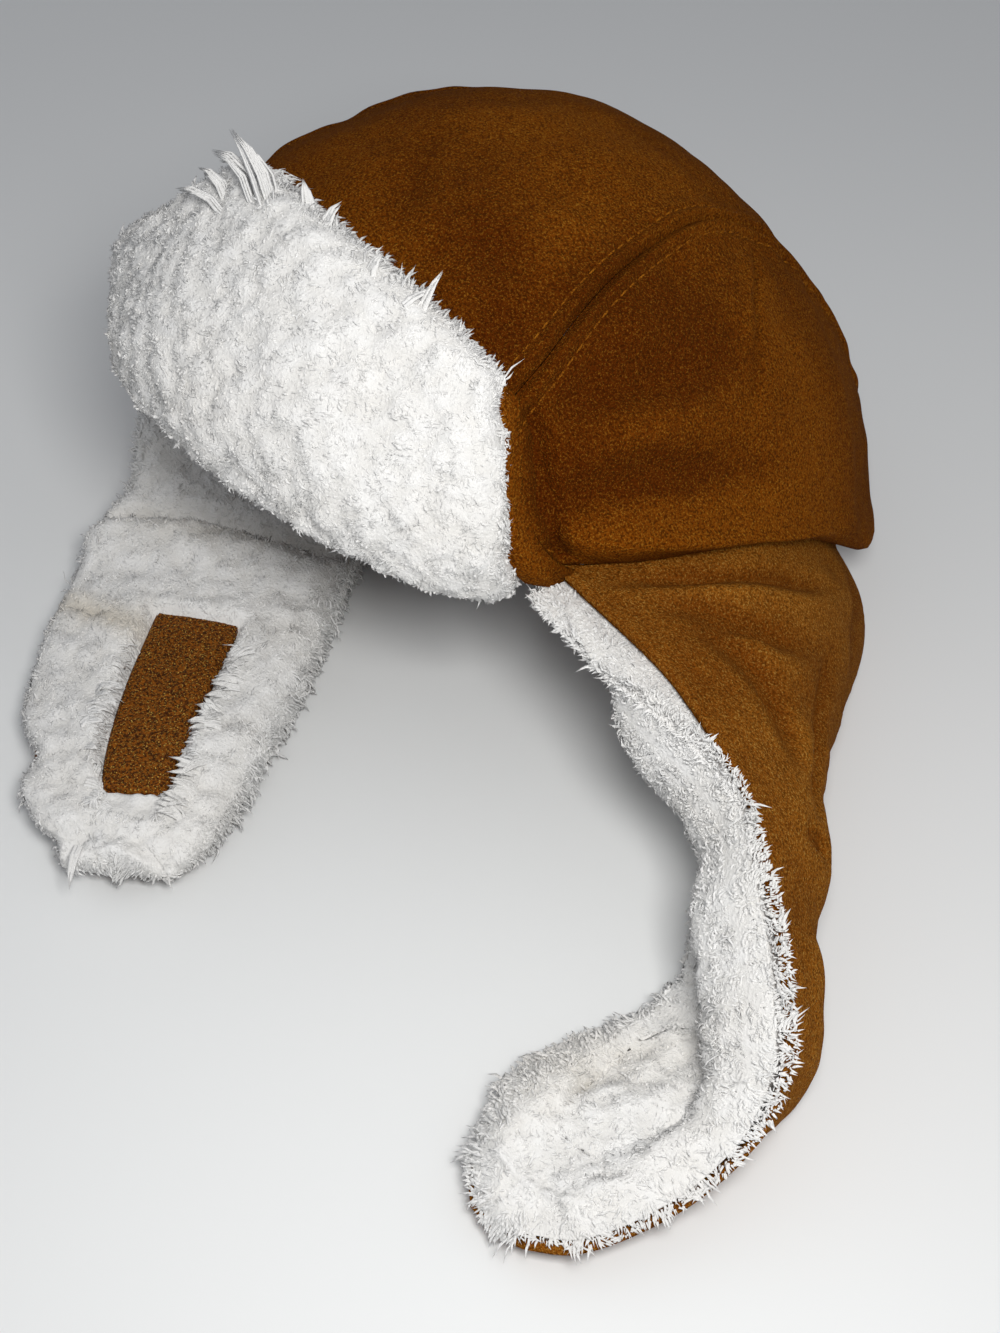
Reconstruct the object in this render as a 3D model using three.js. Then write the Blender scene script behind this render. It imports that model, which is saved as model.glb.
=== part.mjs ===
// A child's winter trapper hat, standing on a table with its ear flaps spread.
// Millimetres and degrees, +Z up. The face opening looks along -Y and the
// wearer's left is +X. The origin is the middle of the base of the hat's box.
import * as THREE from "three";

// Crown: the ellipsoid that the three sewn panels follow, measured outside.
const crownWidth = 165;
const crownLength = 179;
const crownDepth = 73;
const crownWall = 3;
const crownBluntness = 0.5; // 0 is an ellipsoid, more is nearer to a cone
const crownTopShift = 4.4; // the top stands this far forward of the rim's centre
const rimTuck = 0.057; // how far the rim draws in below the widest line, as a share
const rimTuckHeight = 0.25; // share of the depth over which it draws in
const earRise = 14; // how far the rim climbs over each ear
const seamRidge = 0.022; // how far the long seams stand out, as a share
const leanBack = 24; // the crown has settled backwards on its nape
const leanSide = 2.6;
const rimHeight = 40.6; // height of the rim's centre above the table
const settled = 2; // how far the crown has slid left and back over its flaps

// Cloth
const shellThickness = 2;
const pileDepth = 9;
const pileSpill = 5; // how far the pile stands out past a shell's edge
const lipSwell = 1.1; // extra pile behind the left flap's standing edge, as a share
const seamGap = 0.4; // clearance between pieces that are sewn together
const pileGap = 0.7; // clearance between a shell and the pile on it
const pileClearance = 0.6; // lowest the pile hangs over the table

// Front flap, turned up over the forehead
const templeAngle = 65; // from the middle of the front to each end of the flap
const flapHeight = 56;
const flapStandoff = 1.3; // between the flap and the crown at the rim
const flapFlare = 3.5; // how much farther its top edge stands off
const flapTaper = 11; // each end leans in by this angle at the top edge
const flapDroop = 0.62; // how much lower it is folded over the right temple, as a share
const flapMargin = 5; // bare shell left at each end of the flap's pile

// Ear flaps
const strapWidth = 62;
const leftReach = 100; // from the crown's left side to the left flap's far edge
const rightReach = 150; // from the crown's right side to the right flap's tip
const patchWidth = 17;
const patchLength = 57;
const patchThickness = 2;

const radians = THREE.MathUtils.degToRad;
const lerp = THREE.MathUtils.lerp;
const smooth = THREE.MathUtils.smoothstep;
const brown = new THREE.MeshStandardMaterial({ color: 0x7a4310, roughness: 0.95 });
const white = new THREE.MeshStandardMaterial({ color: 0xf0eeec, roughness: 1 });

// A repeatable number from 0 to 1 for a pair of whole numbers.
function scatter(i, j) {
  const s = Math.sin(i * 12.9898 + j * 78.233) * 43758.5453;
  return s - Math.floor(s);
}

// A closed solid between two grids of points, given as functions of u and v.
function solidBetween(outer, inner, across, along) {
  const points = [];
  const faces = [];
  for (const side of [outer, inner])
    for (let j = 0; j <= along; j++)
      for (let i = 0; i <= across; i++) points.push(side(i / across, j / along, i, j));
  const layer = (across + 1) * (along + 1);
  const at = (side, i, j) => side * layer + j * (across + 1) + i;
  const quad = (a, b, c, d) => faces.push(a, b, c, a, c, d);
  for (let j = 0; j < along; j++)
    for (let i = 0; i < across; i++) {
      quad(at(0, i, j), at(0, i + 1, j), at(0, i + 1, j + 1), at(0, i, j + 1));
      quad(at(1, i, j), at(1, i, j + 1), at(1, i + 1, j + 1), at(1, i + 1, j));
    }
  for (let i = 0; i < across; i++) {
    quad(at(1, i, 0), at(1, i + 1, 0), at(0, i + 1, 0), at(0, i, 0));
    quad(at(0, i, along), at(0, i + 1, along), at(1, i + 1, along), at(1, i, along));
  }
  for (let j = 0; j < along; j++) {
    quad(at(0, 0, j), at(0, 0, j + 1), at(1, 0, j + 1), at(1, 0, j));
    quad(at(1, across, j), at(1, across, j + 1), at(0, across, j + 1), at(0, across, j));
  }
  return closedGeometry(points, faces);
}

// A geometry from points and triangles, turned so that its faces point out.
function closedGeometry(points, faces) {
  let volume = 0;
  for (let k = 0; k < faces.length; k += 3) {
    const [a, b, c] = [points[faces[k]], points[faces[k + 1]], points[faces[k + 2]]];
    volume += a.dot(b.clone().cross(c));
  }
  if (volume < 0)
    for (let k = 0; k < faces.length; k += 3)
      [faces[k + 1], faces[k + 2]] = [faces[k + 2], faces[k + 1]];
  const geometry = new THREE.BufferGeometry().setFromPoints(points);
  geometry.setIndex(faces);
  geometry.computeVertexNormals();
  return geometry;
}

// The unit normal of a surface at (u, v), from two short steps along it.
function normalOf(surface, u, v) {
  const step = 1e-3;
  const du = surface(u + step, v).sub(surface(u - step, v));
  const dv = surface(u, v + step).sub(surface(u, v - step));
  return du.cross(dv).normalize();
}

// Crown

// The crown's outer surface over a point of the unit sphere, in the crown's own
// frame: the rim lies in its XY plane. Dents and seam furrows are shares.
const crownDents = [
  { x: 0.25, y: 0.45, z: 0.85, depth: 0.02, spread: 0.3 },
  { x: 0.86, y: 0.0, z: 0.5, depth: 0.02, spread: 0.25 },
  { x: -0.86, y: 0.1, z: 0.4, depth: 0.02, spread: 0.3 },
];
function crownPoint(dir, inset = 0) {
  const low = Math.max(0, 1 - dir.z / rimTuckHeight);
  const turn = THREE.MathUtils.radToDeg(Math.atan2(dir.z, -dir.y));
  const offSeam = Math.abs(Math.abs(dir.x) - seamHalf(turn));
  let share = 1 - rimTuck * low ** 2;
  share += seamRidge * Math.exp(-offSeam / 0.12) * Math.min(1, Math.max(0, dir.z / 0.35));
  for (const d of crownDents)
    share -= d.depth * Math.exp(-(((dir.x - d.x) ** 2 + (dir.y - d.y) ** 2 + (dir.z - d.z) ** 2) / d.spread ** 2));
  const ear = Math.exp(-(((earAngle(dir) - 100) / 28) ** 2)) * Math.max(0, 1 - dir.z / 0.3);
  return new THREE.Vector3(
    dir.x * (crownWidth / 2) * share * (1 - 0.04 * ear),
    dir.y * (crownLength / 2) * share - crownTopShift * dir.z ** 2,
    dir.z * lerp(1 - crownBluntness, 1, Math.abs(dir.z) ** 0.6) * crownDepth * share + earRise * ear,
  ).addScaledVector(crownNormal(dir), -inset);
}
function earAngle(dir) {
  return THREE.MathUtils.radToDeg(Math.atan2(Math.abs(dir.x), -dir.y));
}
function crownNormal(dir) {
  return new THREE.Vector3(
    dir.x / crownWidth,
    dir.y / crownLength,
    dir.z / (2 * crownDepth),
  ).normalize();
}
// A direction from a compass angle (0 at the front, 90 at the wearer's left) and a rise above the rim.
function compass(angle, rise) {
  const [a, r] = [radians(angle), radians(rise)];
  return new THREE.Vector3(Math.cos(r) * Math.sin(a), -Math.cos(r) * Math.cos(a), Math.sin(r));
}

// The long seam on each side runs from the temple over the head to the nape.
// turn is the angle over the head from the front rim, half the top panel's
// half-width there as a share of the crown's.
const longSeam = [
  { turn: 0, half: Math.sin(radians(templeAngle)) },
  { turn: 35, half: 0.711 },
  { turn: 55, half: 0.634 },
  { turn: 75, half: 0.52 },
  { turn: 95, half: 0.4 },
  { turn: 115, half: 0.34 },
  { turn: 145, half: 0.34 },
  { turn: 180, half: 0.36 },
];
function seamHalf(turn) {
  const t = THREE.MathUtils.clamp(turn, 0, 180);
  const k = Math.min(longSeam.findLastIndex((row) => row.turn <= t), longSeam.length - 2);
  const rows = [Math.max(k - 1, 0), k, k + 1, Math.min(k + 2, longSeam.length - 1)];
  const share = (t - longSeam[k].turn) / (longSeam[k + 1].turn - longSeam[k].turn);
  return catmull(...rows.map((r) => longSeam[r].half), share);
}
function catmull(a, b, c, d, t) {
  return (
    b + 0.5 * t * (c - a + t * (2 * a - 5 * b + 4 * c - d + t * (3 * (b - c) + d - a)))
  );
}
// A direction from the turn over the head and the sideways share of the crown's half-width.
function overHead(turn, sideways) {
  const flat = Math.sqrt(Math.max(0, 1 - sideways * sideways));
  const t = radians(turn);
  return new THREE.Vector3(sideways, -flat * Math.cos(t), flat * Math.sin(t));
}
const seamShare = seamGap / crownWidth;

// Both panels beside the long seam step along it at the same turns.
const seamCorner = 34; // turn at which the side panel's corners sit, from each end
const seamEndSteps = 6;
const seamTopSteps = 16;
const seamSteps = 2 * seamEndSteps + seamTopSteps;
function seamTurn(v) {
  const end = seamEndSteps / seamSteps;
  if (v < end) return (seamCorner * v) / end;
  if (v > 1 - end) return 180 - (seamCorner * (1 - v)) / end;
  return lerp(seamCorner, 180 - seamCorner, (v - end) / (1 - 2 * end));
}
function topPanelDirection(u, v) {
  const turn = seamTurn(v);
  return overHead(turn, (2 * u - 1) * (seamHalf(turn) - seamShare));
}
// The side panel is a patch between the rim and the long seam.
function sidePanelDirection(u, v) {
  const seam = (turn) => {
    const d = overHead(turn, seamHalf(turn) + seamShare);
    return { angle: Math.atan2(d.x, -d.y), rise: Math.asin(d.z) };
  };
  const front = seam(0).angle;
  const back = seam(180).angle;
  const rim = { angle: lerp(front, back, u), rise: 0 };
  const top = seam(lerp(seamCorner, 180 - seamCorner, u));
  const start = seam(seamCorner * v);
  const end = seam(180 - seamCorner * v);
  const corner = [seam(0), seam(180), seam(seamCorner), seam(180 - seamCorner)];
  const blend = (key) =>
    lerp(rim[key], top[key], v) +
    lerp(start[key], end[key], u) -
    lerp(lerp(corner[0][key], corner[1][key], u), lerp(corner[2][key], corner[3][key], u), v);
  return compass(THREE.MathUtils.radToDeg(blend("angle")), THREE.MathUtils.radToDeg(blend("rise")));
}
function panelSolid(direction, across, along) {
  const outer = (u, v) => crownPoint(direction(u, v));
  const inner = (u, v) => crownPoint(direction(u, v), crownWall);
  return solidBetween(outer, inner, across, along);
}

// Front flap

const flapRise = THREE.MathUtils.radToDeg(flapHeight / ((crownLength + 2 * crownDepth) / 4));
// The flap's inner face, over the crown: u runs from the wearer's right temple
// to the left one, v from the rim to the top edge.
function flapSurface(u, v) {
  const across = 2 * u - 1;
  const fall = 0.24 * Math.max(0, across) ** 3 + flapDroop * smooth(-across, 0.1, 0.55);
  const rise = v * flapRise * (1 - fall);
  const dir = compass(across * (templeAngle - 2 - flapTaper * v), rise);
  return crownPoint(dir, -(flapStandoff + flapFlare * v * v));
}
const flapSpan = (2 * radians(templeAngle) * (crownWidth + crownLength)) / 4;
function flapShell(across, along) {
  const out = (u, v) => normalOf(flapSurface, u, v);
  return solidBetween(
    (u, v) => flapSurface(u, v).addScaledVector(out(u, v), shellThickness),
    (u, v) => flapSurface(u, v),
    across,
    along,
  );
}
function flapPile(across, along) {
  const margin = flapMargin / flapSpan;
  const face = (u, v) => flapSurface(lerp(margin, 1 - margin, u), v);
  const way = (u, v) => normalOf(face, u, v);
  return pileOn(face, way, across, along, { left: 0.6, right: 0.6, start: 1, end: 0.3 });
}

// Pile laid on a shell: level at its root, lumpy on top, with locks round its
// edges. way gives the direction that it stands up in. spill says how much of
// pileSpill each edge has: left and right at u = 0 and 1, start and end at v = 0
// and 1. keep moves a point clear of what is near, and depth is the share of the
// pile's depth at a point.
function pileOn(face, way, across, along, spill, keep = (p) => p, depth = () => 1) {
  const lift = shellThickness + pileGap;
  const spilled = (edge, at) => (typeof edge === "function" ? edge(at) : edge);
  const root = (u, v) => keep(face(u, v).addScaledVector(way(u, v), lift));
  const top = (u, v, i, j) => {
    const onEdge = i === 0 || i === across || j === 0 || j === along;
    const height = (onEdge ? 0.45 : 0.85 + 0.3 * scatter(i, j)) * depth(u, v);
    const p = face(u, v).addScaledVector(way(u, v), lift + pileDepth * height);
    const lock = pileSpill * (0.4 + 0.9 * scatter(i + 7, j + 3));
    const step = 0.25;
    const outwards = (u0, v0, edge, at) =>
      p.addScaledVector(face(u, v).sub(face(u0, v0)).normalize(), lock * spilled(edge, at));
    if (i === 0) outwards(u + step, v, spill.left, v);
    if (i === across) outwards(u - step, v, spill.right, v);
    if (j === 0) outwards(u, v + step, spill.start, u);
    if (j === along) outwards(u, v - step / 4, spill.end, u);
    return keep(p);
  };
  return solidBetween(top, root, across, along);
}
// Keeps pile off the table.
function clear(p) {
  p.z = Math.max(p.z, pileClearance);
  return p;
}
// Keeps an ear flap to its side of the nape and on the table.
function keepSide(p, side) {
  const nape = settled / 2 + (side * seamGap) / 2;
  if (p.y > 0) p.x = side > 0 ? Math.max(p.x, nape) : Math.min(p.x, nape);
  p.z = Math.max(p.z, 0);
  return p;
}

// Ear flaps

const crownPlace = new THREE.Matrix4()
  .makeTranslation(settled / 2, settled, rimHeight)
  .multiply(new THREE.Matrix4().makeRotationY(radians(-leanSide)))
  .multiply(new THREE.Matrix4().makeRotationX(radians(-leanBack)));
// A point of the seam under the crown's wall, where the ear flaps are sewn on.
function rimPoint(angle) {
  const p = crownPoint(compass(angle, 0), crownWall / 6);
  p.z -= 2 * seamGap;
  return p.applyMatrix4(crownPlace);
}
// Sections of the flaps, from the rim to the tip: where the front and back
// edges lie. out and ahead are shares of the flap's reach from the side of the
// crown and towards the front. up is the height and belly how far the section
// bows outwards, both as shares of the strap's width.
const leftSections = [
  { frontOut: 0.141, frontAhead: 0.26, frontUp: 0.94, backOut: -0.15, backAhead: -0.61, backUp: 0.02, belly: 0.22 },
  { frontOut: 0.245, frontAhead: 0.25, frontUp: 0.92, backOut: 0.1, backAhead: -0.33, backUp: 0, belly: 0.22 },
  { frontOut: 0.385, frontAhead: 0.25, frontUp: 0.87, backOut: 0.275, backAhead: 0.02, backUp: 0, belly: 0.28 },
  { frontOut: 0.515, frontAhead: 0.26, frontUp: 0.81, backOut: 0.415, backAhead: 0.2, backUp: 0, belly: 0.3 },
  { frontOut: 0.635, frontAhead: 0.31, frontUp: 0.76, backOut: 0.515, backAhead: 0.31, backUp: 0, belly: 0.25 },
  { frontOut: 0.745, frontAhead: 0.35, frontUp: 0.69, backOut: 0.575, backAhead: 0.41, backUp: 0, belly: 0.28 },
  { frontOut: 0.84, frontAhead: 0.395, frontUp: 0.6, backOut: 0.585, backAhead: 0.51, backUp: 0.02, belly: 0.36 },
  { frontOut: 0.915, frontAhead: 0.44, frontUp: 0.47, backOut: 0.575, backAhead: 0.61, backUp: 0.04, belly: 0.38 },
  { frontOut: 0.96, frontAhead: 0.52, frontUp: 0.31, backOut: 0.57, backAhead: 0.71, backUp: 0.06, belly: 0.3 },
  { frontOut: 0.97, frontAhead: 0.64, frontUp: 0.19, backOut: 0.59, backAhead: 0.81, backUp: 0.09, belly: 0.18 },
  { frontOut: 0.96, frontAhead: 0.77, frontUp: 0.14, backOut: 0.635, backAhead: 0.89, backUp: 0.09, belly: 0.1 },
  { frontOut: 0.93, frontAhead: 0.88, frontUp: 0.11, backOut: 0.685, backAhead: 0.955, backUp: 0.08, belly: 0.07 },
  { frontOut: 0.875, frontAhead: 0.95, frontUp: 0.1, backOut: 0.75, backAhead: 0.99, backUp: 0.08, belly: 0.04 },
];
const rightSections = [
  { frontOut: 0.137, frontAhead: 0.44, frontUp: 0.45, backOut: 0.23, backAhead: -0.2, backUp: 0, belly: 0.1 },
  { frontOut: 0.183, frontAhead: 0.493, frontUp: 0.22, backOut: 0.343, backAhead: 0.09, backUp: 0, belly: 0.06 },
  { frontOut: 0.233, frontAhead: 0.56, frontUp: 0.08, backOut: 0.477, backAhead: 0.257, backUp: 0.02, belly: 0.05 },
  { frontOut: 0.33, frontAhead: 0.65, frontUp: 0.05, backOut: 0.59, backAhead: 0.363, backUp: 0.03, belly: 0.05 },
  { frontOut: 0.45, frontAhead: 0.747, frontUp: 0.04, backOut: 0.697, backAhead: 0.463, backUp: 0.04, belly: 0.05 },
  { frontOut: 0.573, frontAhead: 0.827, frontUp: 0.04, backOut: 0.797, backAhead: 0.567, backUp: 0.04, belly: 0.05 },
  { frontOut: 0.701, frontAhead: 0.88, frontUp: 0.04, backOut: 0.879, backAhead: 0.656, backUp: 0.04, belly: 0.05 },
  { frontOut: 0.803, frontAhead: 0.88, frontUp: 0.04, backOut: 0.927, backAhead: 0.727, backUp: 0.04, belly: 0.05 },
  { frontOut: 0.863, frontAhead: 0.863, frontUp: 0.04, backOut: 0.93, backAhead: 0.783, backUp: 0.04, belly: 0.05 },
];
function strapRows(sections, startX, reach) {
  const place = (out, ahead, up) => new THREE.Vector3(startX + out * reach, -ahead * reach, up * strapWidth);
  const fronts = sections.map((row) => place(row.frontOut, row.frontAhead, row.frontUp));
  const backs = sections.map((row) => place(row.backOut, row.backAhead, row.backUp));
  return sections.map((row, k) => {
    const middle = (i) => fronts[i].clone().lerp(backs[i], 0.5);
    const along = middle(Math.min(k + 1, sections.length - 1)).sub(middle(Math.max(k - 1, 0)));
    const outward = fronts[k].clone().sub(backs[k]).cross(along).normalize();
    return {
      front: fronts[k],
      middle: middle(k).addScaledVector(outward, row.belly * strapWidth),
      back: backs[k],
    };
  });
}
// The outer face of an ear flap; side is 1 for the wearer's left one and -1 for
// the right. u runs from its front edge to its back edge, v from the rim to the
// tip. The rows are the rim, a skirt under it and the sections.
function earFlap(side) {
  const nape = 180 - side * THREE.MathUtils.radToDeg(seamGap / (crownWidth / 2));
  const temple = side * templeAngle + (side < 0 ? 360 : 0);
  const sections = side > 0
    ? strapRows(leftSections, crownWidth / 2, leftReach)
    : strapRows(rightSections, -crownWidth / 2, rightReach);
  const bow = ({ front, middle, back }) => (u) =>
    front
      .clone()
      .multiplyScalar((1 - u) * (1 - 2 * u))
      .addScaledVector(middle, 4 * u * (1 - u))
      .addScaledVector(back, u * (2 * u - 1));
  const rim = (u) => rimPoint(lerp(temple, nape, u));
  const first = bow(sections[0]);
  const skirt = (u) => rim(u).lerp(first(u), 0.4);
  const rows = [rim, skirt, ...sections.map(bow)];
  const last = rows.length - 1;
  return (u, v) => {
    const at = THREE.MathUtils.clamp(v, 0, 1) * last;
    const k = Math.min(Math.floor(at), last - 1);
    const near = [Math.max(k - 1, 0), k, k + 1, Math.min(k + 2, last)].map((r) => rows[r](u));
    const point = new THREE.Vector3(
      ...["x", "y", "z"].map((axis) => catmull(...near.map((p) => p[axis]), at - k)),
    );
    if (v * last !== at) point.addScaledVector(near[2].clone().sub(near[1]), v * last - at);
    point.z = Math.max(point.z, 0);
    return point;
  };
}
// The way from an ear flap's outer face to its inner one. At the rim it never
// runs up, so that the flap stays below the crown.
const crownUp = new THREE.Vector3(0, 0, 1).transformDirection(crownPlace);
function flapInward(face, side, u, v) {
  const way = normalOf(face, u, v).multiplyScalar(side);
  const level = 1 - smooth(v, 0.01, 0.09);
  return way.addScaledVector(crownUp, -level * Math.max(0, way.dot(crownUp))).normalize();
}
function earShell(face, side, across, along) {
  return solidBetween(
    (u, v) => keepSide(face(u, v), side),
    (u, v) => keepSide(face(u, v).addScaledVector(flapInward(face, side, u, v), shellThickness), side),
    across,
    along,
  );
}
// An ear flap's pile stops short of the rim and lies thinner in the folds under
// the crown and at the tip.
function earPile(face, side, across, along, shape = () => 1, lip = 1) {
  const trimmed = (u, v) => face(u * lerp(0.58, 1, smooth(v, 0.08, 0.3)), lerp(pileStart, 1, v));
  const depth = (u, v) => {
    const underCrown = lerp(0.3, 1, smooth(v, 0.04, 0.26));
    return underCrown * lerp(1, 0.7, smooth(v, 0.9, 1)) * shape(u, v);
  };
  const way = (u, v) => flapInward(trimmed, side, u, v);
  return pileOn(trimmed, way, across, along, {
    left: (v) => lip * smooth(v, 0.05, 0.12) * (1 - 0.6 * smooth(v, 0.9, 1)),
    right: (v) => 0.7 * smooth(v, 0.16, 0.24) * (1 - 0.6 * smooth(v, 0.9, 1)),
    start: 0,
    end: 0.8,
  }, clear, depth);
}
const pileStart = 0.015; // share of the flap's length bare under the rim

// The left flap's pile swells towards its front edge, which stands up.
function pileAtLip(u, v) {
  return 1 + lipSwell * (1 - smooth(u, 0.05, 0.45)) * smooth(v, 0.1, 0.25) * (1 - smooth(v, 0.6, 0.75));
}
// The patch lies in a hollow of the right flap's pile.
const patchMiddle = { u: 0.56, v: 0.705 };
const patchSink = 0.35; // share of the pile's depth left under the patch
function patchSpans(face) {
  const { u, v } = patchMiddle;
  const wide = face(u - 0.05, v).distanceTo(face(u + 0.05, v)) / 0.1;
  const long = face(u, v - 0.05).distanceTo(face(u, v + 0.05)) / 0.1;
  return { u: patchWidth / 2 / wide, v: patchLength / 2 / long };
}
function pileAtPatch(u, v) {
  const half = patchSpans(rightFace);
  const aside = smooth(Math.abs(u - patchMiddle.u), half.u + 0.02, half.u + 0.12);
  const beyond = smooth(Math.abs(v - patchMiddle.v), half.v + 0.01, half.v + 0.05);
  return lerp(patchSink, 1, Math.max(aside, beyond));
}
function patchSolid(across, along) {
  const half = patchSpans(rightFace);
  const face = (u, v) =>
    rightFace(patchMiddle.u + half.u * (2 * u - 1), patchMiddle.v + half.v * (2 * v - 1));
  const root = shellThickness + pileGap + seamGap + pileDepth * patchSink * 1.15;
  const level = (height) => (u, v) => face(u, v).addScaledVector(normalOf(face, u, v), -height);
  return solidBetween(level(root + patchThickness), level(root), across, along);
}

// Assembly

const hat = new THREE.Group();
const crown = new THREE.Group();
crown.applyMatrix4(crownPlace);
hat.add(crown);
function add(group, name, geometry, material) {
  const mesh = new THREE.Mesh(geometry, material);
  mesh.name = name;
  group.add(mesh);
  return mesh;
}
add(crown, "crown_top_panel", panelSolid(topPanelDirection, 10, seamSteps), brown);
add(crown, "crown_left_panel", panelSolid(sidePanelDirection, seamTopSteps, seamEndSteps), brown);
add(
  crown,
  "crown_right_panel",
  panelSolid((u, v) => {
    const d = sidePanelDirection(u, v);
    return new THREE.Vector3(-d.x, d.y, d.z);
  }, seamTopSteps, seamEndSteps),
  brown,
);
add(crown, "front_flap_shell", flapShell(26, 8), brown);
add(crown, "front_flap_sherpa", flapPile(26, 8), white);
const leftFace = earFlap(1);
const rightFace = earFlap(-1);
add(hat, "left_flap_shell", earShell(leftFace, 1, 10, 36), brown);
add(hat, "left_flap_sherpa", earPile(leftFace, 1, 10, 36, pileAtLip, 0.8), white);
add(hat, "right_flap_shell", earShell(rightFace, -1, 12, 36), brown);
add(hat, "right_flap_sherpa", earPile(rightFace, -1, 12, 36, pileAtPatch, 0.4), white);
add(hat, "closure_patch", patchSolid(3, 6), brown.clone());

hat.updateMatrixWorld(true);
const box = new THREE.Box3().setFromObject(hat, true);
const middle = box.getCenter(new THREE.Vector3());
hat.position.set(-middle.x, -middle.y, -box.min.z);
hat.updateMatrixWorld(true);

export default hat;
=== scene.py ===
"""A child's winter hat standing on a table: a fleece crown of three panels, a front flap
turned up with its pile outside, and two ear flaps that lie open with their pile inside.
Shapes are worked out in millimetres in the hat's own frame and made in metres."""
import itertools

import bpy
import numpy as np
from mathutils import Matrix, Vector


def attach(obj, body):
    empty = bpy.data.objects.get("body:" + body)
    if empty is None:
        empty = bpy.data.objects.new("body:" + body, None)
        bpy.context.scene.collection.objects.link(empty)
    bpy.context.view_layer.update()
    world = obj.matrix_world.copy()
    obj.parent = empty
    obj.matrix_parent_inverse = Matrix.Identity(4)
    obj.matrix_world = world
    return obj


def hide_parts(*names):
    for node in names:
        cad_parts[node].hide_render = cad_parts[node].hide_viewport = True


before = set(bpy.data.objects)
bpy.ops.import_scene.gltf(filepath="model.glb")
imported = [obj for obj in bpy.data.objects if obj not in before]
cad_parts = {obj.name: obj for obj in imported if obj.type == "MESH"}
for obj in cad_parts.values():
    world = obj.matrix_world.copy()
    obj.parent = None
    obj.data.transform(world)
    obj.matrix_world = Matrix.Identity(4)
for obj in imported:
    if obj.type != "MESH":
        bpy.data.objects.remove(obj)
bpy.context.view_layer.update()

# Crown panels. Three pieces of brushed brown fleece, 3 mm thick with their lining, are
# sewn along two long seams from the temples to the nape. The crown has settled back on
# its nape, so that its rim leans, and a dart and soft dents show on its sides.
CROWN_WIDTH = 165.0
CROWN_LENGTH = 179.0
CROWN_DEPTH = 73.0
CROWN_WALL = 3.0
CROWN_BLUNTNESS = 0.5
BLUNT_POWER = 0.6
CROWN_TOP_SHIFT = 4.4
RIM_TUCK = 0.057
RIM_TUCK_HEIGHT = 0.25
EAR_ANGLE = 100.0
EAR_SPREAD = 28.0
EAR_HEIGHT = 0.3
EAR_RISE = 14.0
EAR_TUCK = 0.04
SEAM_RIDGE = 0.022
RIDGE_SPREAD = 0.12
RIDGE_START = 0.35
LEAN_BACK = 24.0
LEAN_SIDE = 2.6
RIM_HEIGHT = 40.6
SETTLED = 2.0
TEMPLE_ANGLE = 65.0
HAT_SHIFT = np.array([-50.664, 25.503, 0.0])  # to the middle of the base of the hat's box

# Columns: turn over the head from the front rim, half the top panel's width as a share.
LONG_SEAM = np.array([
    [0, np.sin(np.radians(TEMPLE_ANGLE))],
    [35, 0.711],
    [55, 0.634],
    [75, 0.52],
    [95, 0.4],
    [115, 0.34],
    [145, 0.34],
    [180, 0.36],
])
# Columns: x, y, z of a dent's middle as a direction, depth and spread as shares.
CROWN_DENTS = [
    (0.25, 0.45, 0.85, 0.02, 0.3),
    (0.86, 0.0, 0.5, 0.02, 0.25),
    (-0.86, 0.1, 0.4, 0.02, 0.3),
]


def smooth(x, low, high):
    """0 below low, 1 above high, and an S-curve between."""
    t = np.clip((x - low) / (high - low), 0, 1)
    return t * t * (3 - 2 * t)


def lerp(a, b, t):
    """The point a share t of the way from a to b."""
    return a + (b - a) * t


def catmull(a, b, c, d, t):
    """A smooth curve from b to c whose ends head along a-c and b-d."""
    return b + 0.5 * t * (c - a + t * (2 * a - 5 * b + 4 * c - d + t * (3 * (b - c) + d - a)))


def unit(vectors):
    """Vectors scaled to length one."""
    return vectors / np.maximum(np.linalg.norm(vectors, axis=-1, keepdims=True), 1e-9)


def seam_half(turn):
    """Half the top panel's width at a turn over the head, smoothed through LONG_SEAM."""
    turn = np.clip(turn, 0, 180)
    last = len(LONG_SEAM) - 1
    k = np.clip(np.searchsorted(LONG_SEAM[:, 0], turn, side="right") - 1, 0, last - 1)
    share = (turn - LONG_SEAM[k, 0]) / (LONG_SEAM[k + 1, 0] - LONG_SEAM[k, 0])
    near = [LONG_SEAM[i, 1] for i in (np.maximum(k - 1, 0), k, k + 1, np.minimum(k + 2, last))]
    return catmull(*near, share)


def compass(angle, rise):
    """A direction from its angle round the head, 0 at the front, and its rise over the rim."""
    angle, rise = np.radians(angle), np.radians(rise)
    return np.stack([np.cos(rise) * np.sin(angle), -np.cos(rise) * np.cos(angle), np.sin(rise)], -1)


def over_head(turn, sideways):
    """A direction from its turn over the head and its sideways share of the half-width."""
    flat = np.sqrt(np.maximum(0, 1 - sideways**2))
    turn = np.radians(turn)
    return np.stack([sideways, -flat * np.cos(turn), flat * np.sin(turn)], -1)


def crown_normal(direction):
    """The way out of the crown: a direction flattened as the crown is."""
    return unit(direction / np.array([CROWN_WIDTH, CROWN_LENGTH, 2 * CROWN_DEPTH]))


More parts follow.
